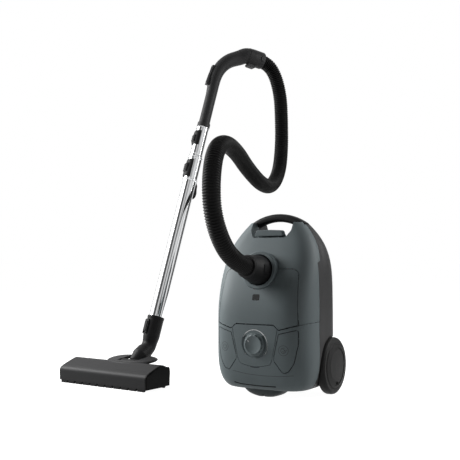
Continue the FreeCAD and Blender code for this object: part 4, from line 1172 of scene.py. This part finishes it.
@dataclass
class DustBag:
    """The fleece bag that hangs behind the inlet, creased and half full."""

    stations: tuple[tuple[float, float, float, float], ...] = (
        (164.5, 62.0, 29.0, 50.0), (166.5, 68.0, 34.5, 50.0), (176.0, 75.0, 38.5, 50.0),
        (198.0, 86.0, 42.5, 51.0), (224.0, 86.0, 39.0, 56.0), (258.0, 82.5, 33.5, 62.0),
        (286.0, 70.0, 28.0, 66.0), (304.0, 60.0, 23.5, 68.0), (307.0, 52.0, 17.0, 68.0))
    inlet: Point = (0.0, -39.0, 272.0)
    inlet_axis: Point = (0.0, -0.987688, 0.156434)
    card_station: float = -79.3
    hole: float = 20.2
    facets: int = 96
    levels: int = 60

    def outline(self, height: float) -> tuple[float, float, float]:
        """Half widths and middle of the bag at a height.

        Args:
            height: Height in millimetres.

        Returns:
            Half width, half depth and middle depth.
        """
        rows = self.stations
        for low, high in zip(rows, rows[1:]):
            if height <= high[0]:
                share = (height - low[0]) / (high[0] - low[0])
                share = share * share * (3 - 2 * share) if low[0] > 170 else share
                return tuple(a + (b - a) * share for a, b in zip(low[1:], high[1:]))
        return rows[-1][1:]

    def crease(self, angle: float, height: float) -> float:
        """How far the fleece falls in at one place.

        Args:
            angle: Where round the bag, in radians.
            height: Height in millimetres.

        Returns:
            The depth, in millimetres.
        """
        folds = 0.9 * math.sin(5 * angle + 0.09 * height)
        folds += 0.6 * math.sin(11 * angle - 0.15 * height + 1.3)
        folds += 0.35 * math.sin(23 * angle + 0.31 * height)
        wrinkles = 0.5 * math.sin(0.55 * height + 2.2 * math.sin(3 * angle))
        return 1.6 + 0.55 * (folds + wrinkles)

    def build(self) -> None:
        """Makes the bag."""
        axis, origin = Vector(self.inlet_axis), Vector(self.inlet)
        low, high = self.stations[0][0], self.stations[-1][0]
        rings = []
        for i in range(self.levels + 1):
            share = i / self.levels
            height = low + (high - low) * (0.5 - 0.5 * math.cos(math.pi * share))
            wide, deep, middle = self.outline(height)
            ring = []
            for angle in around(self.facets):
                c, s = math.cos(angle), math.sin(angle)
                reach = (abs(c / wide) ** 3 + abs(s / deep) ** 3) ** (-1 / 3)
                reach -= self.crease(angle, height)
                point = Vector((reach * c, middle + reach * s, height))
                out = (point - origin).dot(axis) - self.card_station
                if out > 0:
                    point = point - axis * out
                ring.append(point)
            rings.append(ring)
        bag = loft(rings).facing_out()
        place = frame_at(origin, axis, Vector((1, 0, 0)))
        bag = bag - turned([(0.01, -112), (self.hole, -112), (self.hole, -60), (0.01, -60)],
                           place, 64)
        bag.piece("fleece_bag", "canister", PAPER, "dust_bag", crease=50)


@dataclass
class Filters:
    """The foam before the motor and the pleated paper behind the grille."""

    pleat: float = 4.4
    paper: float = 0.7

    def foam(self) -> None:
        """The square foam, a little crowned on top."""
        low, high = box_of(corners_of("motor_filter"))
        middle = (low + high) / 2
        half = (high.x - low.x) / 2 - 0.3
        rings = []
        for share, inset in ((0.0, 1.6), (0.06, 0.5), (0.2, 0.0), (0.8, 0.0), (0.93, 0.7),
                             (1.0, 2.6)):
            ring = []
            for angle in around(64):
                c, s = math.cos(angle), math.sin(angle)
                reach = (abs(c) ** 9 + abs(s) ** 9) ** (-1 / 9) * (half - inset)
                sag = 0.35 * math.sin(4 * angle) * share
                ring.append(Vector((middle.x + reach * c, middle.y + reach * s,
                                    low.z + (high.z - low.z - 0.4) * share + sag * 0.3)))
            rings.append(ring)
        pad = loft(rings).facing_out()
        pad.piece("foam_filter", "canister", FOAM, "motor_filter", crease=50)

    def pleated(self) -> None:
        """The paper filter, folded to and fro."""
        low, high = box_of(corners_of("exhaust_filter"))
        front, back = low.y + 0.4, high.y - 0.4
        start, end = low.x + 2.4, high.x - 2.4
        folds = int((end - start) / self.pleat)
        pitch = (end - start) / folds
        line = []
        for i in range(2 * folds + 1):
            line.append((start + pitch * i / 2, front if i % 2 else back - self.paper))
        outline = line + [(x, y + self.paper) for x, y in reversed(line)]
        rings = [[Vector((x, y, z)) for x, y in outline]
                 for z in (low.z + 7.0, high.z - 7.0)]
        paper = loft(rings).facing_out()
        paper.piece("pleated_filter", "canister", PAPER, "exhaust_filter")
        for z0, z1 in ((low.z + 1.0, low.z + 7.4), (high.z - 7.4, high.z - 1.0)):
            rail = boxed((start + 6, front, z0), (end - 6, back, z1)).softened(1.2, 3)
            rail.piece(f"filter_rail_{int(z0)}", "canister", PAPER)

    def build(self) -> None:
        """Makes both filters."""
        self.foam()
        self.pleated()


@dataclass
class Brush:
    """The brush strip of the floor head, as tufts of bristles in a back strip."""

    head: Point = (-381.8, -99.3, 0.0)
    turn: float = -4.0
    half: float = 117.0
    depth: tuple[float, float] = (13.0, 17.0)
    foot: float = 3.3
    back: float = 8.6
    top: float = 13.8
    pitch: float = 2.6

    def place(self) -> Matrix:
        """The head's frame."""
        return (Matrix.Translation(Vector(self.head))
                @ Matrix.Rotation(math.radians(self.turn), 4, "Z"))

    def build(self) -> None:
        """Makes the strip and its tufts."""
        dice = random.Random(7)
        near, far = self.depth
        strip = boxed((-self.half, near, self.back), (self.half, far, self.top)).softened(0.5)
        strip.moved(self.place()).piece("brush_back", "brush", BLACK, "brush_strip")
        points, faces = [], []
        count = int(2 * (self.half - 2) / self.pitch)
        for i in range(count):
            for row in (near + 1.1, far - 1.1):
                middle = -self.half + 2.5 + self.pitch * i
                for _ in range(7):
                    x = middle + dice.uniform(-0.6, 0.6)
                    y = row + dice.uniform(-0.4, 0.4)
                    lean_x, lean_y = dice.uniform(-0.5, 0.5), dice.uniform(-0.35, 0.35)
                    start = len(points)
                    tip = self.foot + dice.uniform(0, 0.3)
                    for z, r, dx, dy in ((self.back + 0.2, 0.2, 0, 0),
                                         (tip, 0.12, lean_x, lean_y)):
                        for a in around(3):
                            points.append(Vector((x + dx + r * math.cos(a),
                                                  y + dy + r * math.sin(a), z)))
                    faces += [(start + k, start + (k + 1) % 3, start + 3 + (k + 1) % 3,
                               start + 3 + k) for k in range(3)]
                    faces += [(start + 2, start + 1, start), (start + 3, start + 4, start + 5)]
        tufts = Solid(points, faces).moved(self.place())
        tufts.piece("brush_tufts", "brush", BRISTLE)


@dataclass
class HatchSeal:
    """The rubber lip inside the hatch's rim, on both sides of the inlet."""

    middle_height: float = 225.0
    window: float = 5.0

    def build(self) -> None:
        """Follows the seal's own band with a round lip and a flat root."""
        corners = corners_of("hatch_seal")
        for side in (Side.LEFT, Side.RIGHT):
            turns: dict[int, list[Vector]] = {}
            for c in corners:
                if c.x * side.value > 0:
                    angle = math.degrees(math.atan2(c.z - self.middle_height,
                                                    c.x * side.value))
                    turns.setdefault(int(angle // self.window), []).append(c)
            line = []
            for key in sorted(turns):
                low, high = box_of(turns[key])
                line.append((low + high) / 2)
            self.lip(line, side)

    def lip(self, line: list[Vector], side: Side) -> None:
        """One length of lip.

        Args:
            line: Its middle line.
            side: The side it is on.
        """
        rings = []
        for i, point in enumerate(line):
            along = (line[min(i + 1, len(line) - 1)] - line[max(i - 1, 0)]).normalized()
            out = Vector((0, -1, 0))
            out = (out - along * out.dot(along)).normalized()
            across = along.cross(out)
            ring = []
            for u, v in ((-1.9, -1.2), (1.9, -1.2), (1.9, -0.2), (0.9, 0.1), (1.2, 0.8),
                         (0.7, 1.35), (-0.7, 1.35), (-1.2, 0.8), (-0.9, 0.1), (-1.9, -0.2)):
                ring.append(point + across * u + out * v)
            rings.append(ring)
        loft(rings).facing_out().piece(f"hatch_lip_{side.word}", "hatch", SEAL, "hatch_seal")


# ---- markings on the shell ------------------------------------------------------------------


def half_step(line: Sequence[tuple[float, float]], i: int, width: float) -> tuple[float, float]:
    """Half of a stroke's width, square to its line.

    Args:
        line: The middle line, widths and heights.
        i: Which of its points.
        width: The stroke's width.

    Returns:
        The step to the stroke's edge.
    """
    x0, z0 = line[max(i - 1, 0)]
    x1, z1 = line[min(i + 1, len(line) - 1)]
    run = math.hypot(x1 - x0, z1 - z0) or 1.0
    return -(z1 - z0) / run * width / 2, (x1 - x0) / run * width / 2


@dataclass
class Markings:
    """The dial's scale and the generic signs on the two pedals."""

    dial: tuple[float, float] = (0.0, 115.0)
    lift: float = 0.12

    def touch(self, node: str, x: float, z: float) -> Vector:
        """The place on a node's front face at a width and height.

        Args:
            node: The CAD node.
            x: Width in millimetres.
            z: Height in millimetres.

        Returns:
            The place, a hair in front of the face.
        """
        hit, normal, _, _ = surface_of(node).ray_cast(Vector((x, BEFORE_ALL, z)),
                                                      Vector((0, 1, 0)))
        if hit is None:
            raise ValueError(f"{node} has no face at {x}, {z}")
        if normal.y > 0:
            normal.negate()
        return hit + normal * self.lift

    def stroke(self, node: str, line: Sequence[tuple[float, float]], width: float) -> tuple:
        """Points and faces of a painted stroke.

        Args:
            node: The CAD node it lies on.
            line: Its middle line, widths and heights.
            width: Its width.

        Returns:
            Points and faces.
        """
        points = []
        for i, (x, z) in enumerate(line):
            nx, nz = half_step(line, i, width)
            points += [self.touch(node, x + side * nx, z + side * nz) for side in (1, -1)]
        faces = [(2 * i, 2 * i + 1, 2 * i + 3, 2 * i + 2) for i in range(len(line) - 1)]
        return points, faces

    @staticmethod
    def arc(middle: tuple[float, float], radius: float, start: float, end: float,
            steps: int = 24) -> list[tuple[float, float]]:
        """Points along an arc.

        Args:
            middle: Its centre.
            radius: Its radius.
            start: Where it starts, degrees from X.
            end: Where it ends.
            steps: How many parts it has.

        Returns:
            The points.
        """
        line = []
        for i in range(steps + 1):
            angle = math.radians(start + (end - start) * i / steps)
            line.append((middle[0] + radius * math.cos(angle),
                         middle[1] + radius * math.sin(angle)))
        return line

    def paint(self, name: str, body: str, node: str, finish: Finish,
              strokes: Sequence[tuple[Sequence[tuple[float, float]], float]]) -> None:
        """Makes one object of several strokes.

        Args:
            name: The piece's name.
            body: The body it rides on.
            node: The CAD node it lies on.
            finish: Its finish.
            strokes: Middle lines and widths.
        """
        points: list[Vector] = []
        faces: list[tuple[int, ...]] = []
        for line, width in strokes:
            more, quads = self.stroke(node, line, width)
            faces += [tuple(len(points) + i for i in quad) for quad in quads]
            points += more
        Solid(points, faces).piece(name, body, finish)

    def scale(self) -> None:
        """The white scale that grows from the low to the high setting."""
        strokes = []
        for i in range(30):
            start = 150.0 - i * 6.2
            width = 1.0 + 1.7 * i / 29
            strokes.append((self.arc(self.dial, 31.0, start, start - 5.6, 3), width))
        for angle in (222.0, -42.0):
            strokes.append((self.arc(self.dial, 29.8, angle + 3, angle - 3, 3), 1.2))
        self.paint("dial_scale", "canister", "control_panel", MARKING, strokes)

    def signs(self) -> None:
        """A power sign on the left pedal and a coiling arrow on the right one."""
        left, right = (-75.4, 107.2), (67.0, 105.5)
        self.paint("power_sign", "power_pedal", "power_pedal", DARK_PRINT_AND_CREASE_SHADE, [
            (self.arc(left, 9.5, 0, 360, 40), 0.7), (self.arc(left, 4.6, 130, 410, 24), 0.9),
            ([(left[0], left[1] + z) for z in (1.0, 3.0, 5.6)], 0.9)])
        self.paint("rewind_sign", "rewind_pedal", "rewind_pedal", DARK_PRINT_AND_CREASE_SHADE, [
            (self.arc(right, 10.5, 0, 360, 40), 0.7), (self.arc(right, 5.4, 60, 350, 24), 0.9),
            (self.arc(right, 2.6, 200, 480, 16), 0.8),
            ([(right[0] + 7.4, right[1] + 1.6), (right[0] + 5.4, right[1] - 1.2),
              (right[0] + 3.2, right[1] + 1.4)], 0.8)])

    def build(self) -> None:
        """Paints all markings."""
        self.scale()
        self.signs()


# ---- shell details --------------------------------------------------------------------------


@dataclass
class ShellLines:
    """Painted shadow strips in the gaps and above the foot, a painted shade line along a crease,
    and small trims on the canister's front.
    """

    pedal: tuple[Point, ...] = ((57.5, 138, 3), (95.5, 147.5, 4), (95.5, 120, 40),
                                (87.5, 80, 25), (76, 62, 9), (65, 58.5, 5), (44.6, 85.2, 5))
    facia: tuple[Point, ...] = ((45, 156.2, 2), (54, 149, 3), (40.5, 84, 9), (36, 74.5, 4),
                                (0, 65.5, 60), (-36, 74.5, 4), (-40.5, 84, 9), (-54, 149, 3),
                                (-45, 156.2, 2))
    nodes: tuple[str, ...] = ("lower_shell", "hood", "hatch_panel", "control_panel",
                              "power_pedal", "rewind_pedal", "base_shell")
    lift: float = 0.1
    longest_step: float = 8.0

    def touch(self, x: float, z: float) -> Vector | None:
        """The foremost place of the front.

        Args:
            x: Width in millimetres.
            z: Height in millimetres.

        Returns:
            The place, a hair in front of the shell, or None beside it.
        """
        start, back = Vector((x, BEFORE_ALL, z)), Vector((0, 1, 0))
        hits = [surface_of(name).ray_cast(start, back)[0] for name in self.nodes]
        found = [hit for hit in hits if hit is not None]
        if not found:
            return None
        return min(found, key=lambda hit: hit.y) + Vector((0, -self.lift, 0))

    @staticmethod
    def rounded(corners: Sequence[Point], grow: float = 0.0) -> list[tuple[float, float]]:
        """A closed outline with rounded corners, about one point a millimetre.

        Args:
            corners: Width, height and radius of each corner.
            grow: How far the outline moves outwards.

        Returns:
            Points, the first one repeated at the end.
        """
        count = len(corners)
        line: list[Vector] = []
        for i in range(count):
            before = Vector(corners[i - 1][:2])
            here = Vector(corners[i][:2])
            after = Vector(corners[(i + 1) % count][:2])
            back, on = (before - here).normalized(), (after - here).normalized()
            half = math.acos(max(-1.0, min(1.0, back.dot(on)))) / 2
            cut = corners[i][2] / max(0.05, math.tan(half))
            cut = min(cut, (before - here).length * 0.49, (after - here).length * 0.49)
            a, b = here + back * cut, here + on * cut
            for k in range(9):
                t = k / 8
                line.append(a * (1 - t) ** 2 + here * 2 * t * (1 - t) + b * t * t)
        dense: list[Vector] = []
        for a, b in zip(line, line[1:] + line[:1]):
            parts = max(1, int((b - a).length / 1.5))
            dense += [a + (b - a) * k / parts for k in range(parts)]
        area = sum(a.x * b.y - b.x * a.y for a, b in zip(dense, dense[1:] + dense[:1]))
        turn = -1.0 if area > 0 else 1.0
        out = []
        for i, p in enumerate(dense):
            run = (dense[(i + 1) % len(dense)] - dense[i - 1]).normalized()
            out.append((p.x - run.y * grow * turn, p.y + run.x * grow * turn))
        return out + out[:1]

    @staticmethod
    def dense(line: Sequence[tuple[float, float]]) -> list[tuple[float, float]]:
        """The line with a point about every two millimetres.

        Args:
            line: Its corners.

        Returns:
            The closer points.
        """
        out = []
        for (x0, z0), (x1, z1) in zip(line, line[1:]):
            parts = max(1, int(math.hypot(x1 - x0, z1 - z0) / 2))
            out += [(x0 + (x1 - x0) * k / parts, z0 + (z1 - z0) * k / parts)
                    for k in range(parts)]
        return out + [line[-1]]

    def ribbon(self, name: str, body: str, finish: Finish,
               lines: Sequence[tuple[Sequence[tuple[float, float]], float]]) -> None:
        """A thin painted ribbon along each line.

        Args:
            name: The piece's name.
            body: The body it rides on.
            finish: Its finish.
            lines: Middle lines and widths.
        """
        points: list[Vector] = []
        faces: list[tuple[int, ...]] = []
        for line, width in lines:
            last = None
            for i, (x, z) in enumerate(line):
                nx, nz = half_step(line, i, width)
                pair = [self.touch(x + s * nx, z + s * nz) for s in (1, 0, -1)]
                if None in pair:
                    last = None
                    continue
                start = len(points)
                points += pair
                if last is not None and all(
                        (points[last + k] - pair[k]).length < self.longest_step
                        for k in range(3)):
                    faces.append((last, last + 1, start + 1, start))
                    faces.append((last + 1, last + 2, start + 2, start + 1))
                last = start
        Solid(points, faces).piece(name, body, finish)

    def build(self) -> None:
        """Makes all lines."""
        mirrored = tuple((-x, z, r) for x, z, r in reversed(self.pedal))
        right, left = self.rounded(self.pedal, 0.9), self.rounded(mirrored, 0.9)
        # painted shadow in the gaps round the pedals, the hatch and the facia, and in the recess
        # above the foot
        self.ribbon("pedal_gap_shadows", "canister", PAINTED_GAP_SHADOW, [(right, 1.5), (left, 1.5)])
        edge = [(97.0, 156.0), (95.0, 180.0), (92.5, 212.0), (90.5, 240.0), (88.8, 256.0),
                (87.2, 264.0), (83.0, 270.5), (76.0, 273.8), (60.0, 274.4), (42.0, 274.4)]
        sides = [[(s.value * x, z) for x, z in self.dense(edge)] for s in Side]
        self.ribbon("hatch_gap_shadow", "canister", PAINTED_GAP_SHADOW, [(line, 1.0) for line in sides])
        foot = self.dense([(-56.0, 31.0), (-40.0, 28.0), (0.0, 26.6), (44.0, 27.6)])
        brow = self.dense([(-56.0, 56.5), (-20.0, 51.5), (17.0, 50.0), (60.0, 51.5),
                           (86.0, 54.0)])
        self.ribbon("foot_shadow", "canister", PAINTED_GAP_SHADOW, [(foot, 2.6)])
        # painted shade: a thin dark line where the crease below the facia falls into shade
        self.ribbon("front_crease_shade", "canister", DARK_PRINT_AND_CREASE_SHADE, [(brow, 0.9)])
        self.ribbon("facia_gap_shadow", "canister", PAINTED_GAP_SHADOW, [(self.rounded(self.facia, 0.6), 1.1)])


# ---- dial and latch ledge -------------------------------------------------------------------


@dataclass
class Dial:
    """The scalloped power dial with its skirt and pointer."""

    centre: Point = (0.0, -56.375, 115.0)
    skirt: float = 24.6
    cap: float = 20.2
    proud: float = 6.9
    sunk: float = 15.5
    scallops: int = 14
    scallop_depth: float = 0.55

    def wave(self, radius: float, angle: float) -> float:
        """Scallops on the cap only.

        Args:
            radius: Distance from the dial's axis, in millimetres.
            angle: Where round the axis, in radians.

        Returns:
            The change of radius, in millimetres.
        """
        if abs(radius - self.cap) > 1.3:
            return 0.0
        return self.scallop_depth * math.cos(self.scallops * angle)

    def build(self) -> None:
        """Makes the dial."""
        place = frame_at(Vector(self.centre), Vector((0, -1, 0)), Vector((1, 0, 0)))
        top, cap, skirt = self.proud, self.cap, self.skirt
        profile = [(0.01, -self.sunk), (6.0, -self.sunk), (6.0, -2.0), (skirt, -2.0),
                   (skirt, 1.2), (skirt - 0.5, 1.9), (skirt - 1.4, 2.2), (cap + 1.2, 2.5),
                   (cap + 0.4, 2.9), (cap, 3.8), (cap, top - 1.5), (cap - 0.4, top - 0.5),
                   (cap - 1.2, top), (cap - 2.6, top - 0.1), (cap - 3.6, top - 0.7),
                   (0.01, top - 1.0)]
        knob = turned(profile, place, 168, self.wave)
        knob.piece("power_dial", "dial", KNOB_GREEN, "dial_knob")
        turn = place @ Matrix.Rotation(math.radians(148.0), 4, "Z")
        mark = boxed((cap - 8.0, -0.6, top - 1.2), (cap - 4.2, 0.6, top - 0.55)).moved(turn)
        mark.piece("dial_pointer", "dial", MARKING)


@dataclass
class LatchLedge:
    """The low ledge behind the latch tab, at the foot of the hand slot."""

    half: float = 33.0
    floor: float = 341.4
    top: float = 350.0
    near: float = 24.2
    far: float = 27.0

    def build(self) -> None:
        """Makes the ledge."""
        outline = [(self.near, self.floor), (self.far, self.floor), (self.far, self.top - 1.6),
                   (self.far - 0.6, self.top), (self.near + 0.5, self.top),
                   (self.near, self.top - 0.6)]
        rings = []
        for i in range(25):
            share = 2 * i / 24 - 1
            x = self.half * share
            low = 1.4 * abs(share) ** 6
            rings.append([Vector((x, y, z - (low if z > self.floor + 1 else 0)))
                          for y, z in outline])
        loft(rings).facing_out().piece("latch_ledge", "canister", GREEN)


# ---- shoulder patches -----------------------------------------------------------------------


@dataclass
class ShoulderCap:
    """A patch on each shoulder of the back shell, where the frame's own wall runs out.

    The real shell is plain there. The right patch covers a hole in the frame's shell, and the
    left one covers its thin skin.
    """

    centre: Point = (97.6, 62.0, 334.0)
    normal: Point = (0.895, 0.03, 0.445)
    radius: float = 9.0
    facets: int = 32
    stand_off: float = 15.0
    sink: float = 1.0
    crown: tuple[tuple[float, float], ...] = ((1.0, 0.0), (0.97, 0.12), (0.85, 0.2),
                                              (0.5, 0.3), (0.1, 0.35))

    def build(self) -> None:
        """Makes both patches, each laid on the shell's own surface."""
        for side in Side:
            flip = Vector((side.value, 1, 1))
            out = (Vector(self.normal) * flip).normalized()
            place = frame_at(Vector(self.centre) * flip, out, Vector((0, 0, 1)))
            rim = []
            for angle in around(self.facets):
                start = place @ Vector((self.radius * math.cos(angle),
                                        self.radius * math.sin(angle), self.stand_off))
                hit = surface_of("base_shell").ray_cast(start, -out)[0]
                rim.append(hit if hit is not None else start - out * self.stand_off)
            middle = sum(rim, Vector()) / len(rim)
            rings = [[p - out * self.sink for p in rim]]
            for share, lift in self.crown:
                rings.append([middle + (p - middle) * share + out * lift for p in rim])
            loft(rings).facing_out().piece(f"shoulder_cap_{side.word}", "canister", DARK)


# ---- parts carried over from the frame ------------------------------------------------------


CARRIED: dict[Finish, tuple[str, ...]] = {
    GREEN: ("hood", "lower_shell", "hatch_panel", "control_panel", "power_pedal",
            "rewind_pedal", "latch_tab", "inlet_collar"),
    # the foot gets the darker green copy, which is painted shade
    FOOT_SHADE_GREEN: ("standing_foot",),
    DARK: ("base_shell", "exhaust_grille", "suction_slider"),
    BLACK: ("carry_handle", "inlet_spigot", "inlet_cuff", "cuff_button_left",
            "cuff_button_right", "bulkhead", "cord_reel", "castor_fork", "castor_wheel",
            "cord_outlet", "hose_end_ring", "neck", "neck_button", "knuckle", "head_sole",
            "head_comb", "head_rollers"),
    GRIP: ("grip",),
    CAP: ("head_end_caps",),
    HEAD: ("head_cover", "head_pedal"),
    SIGNAL: ("bag_holder", "indicator_flag"),
    WHEEL: ("wheel_disc_left", "wheel_disc_right"),
    TYRE: ("tyre_left", "tyre_right"),
    SEAL: ("motor_mounts",),
    STEEL: ("hatch_hinge_pin", "motor_shaft", "wheel_axles"),
    MOTOR_STEEL: ("motor_can",),
    FAN: ("motor_fan",),
    BOARD: ("control_board",),
    LENS: ("indicator_lens",),
}


EASED = {"head_cover": 3.0, "head_end_caps": 2.0}  # radius of the edges, in millimetres
EASED_FROM = 14.0  # edges sharper than this are eased, in degrees


def dress_carried() -> None:
    """Gives every node that is shown as it is its finish."""
    for finish, nodes in CARRIED.items():
        for name in nodes:
            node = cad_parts[name]
            if name in EASED:
                edge = node.modifiers.new("eased edges", "BEVEL")
                edge.width = EASED[name] * MM
                edge.segments = 3
                edge.limit_method = "ANGLE"
                edge.angle_limit = math.radians(EASED_FROM)
            node.data.materials.clear()
            node.data.materials.append(finish.material())
            log.info("%s: carried over, %s", name, finish.name)


def main() -> None:
    """Builds the model, part by part."""
    logging.basicConfig(level=logging.INFO, format="%(name)s: %(message)s")
    Studio().build()
    Hose().build()
    Wand().build()
    DustBag().build()
    Filters().build()
    Brush().build()
    HatchSeal().build()
    Markings().build()
    ShellLines().build()
    Dial().build()
    LatchLedge().build()
    ShoulderCap().build()
    dress_carried()


if __name__ == "__main__":
    main()
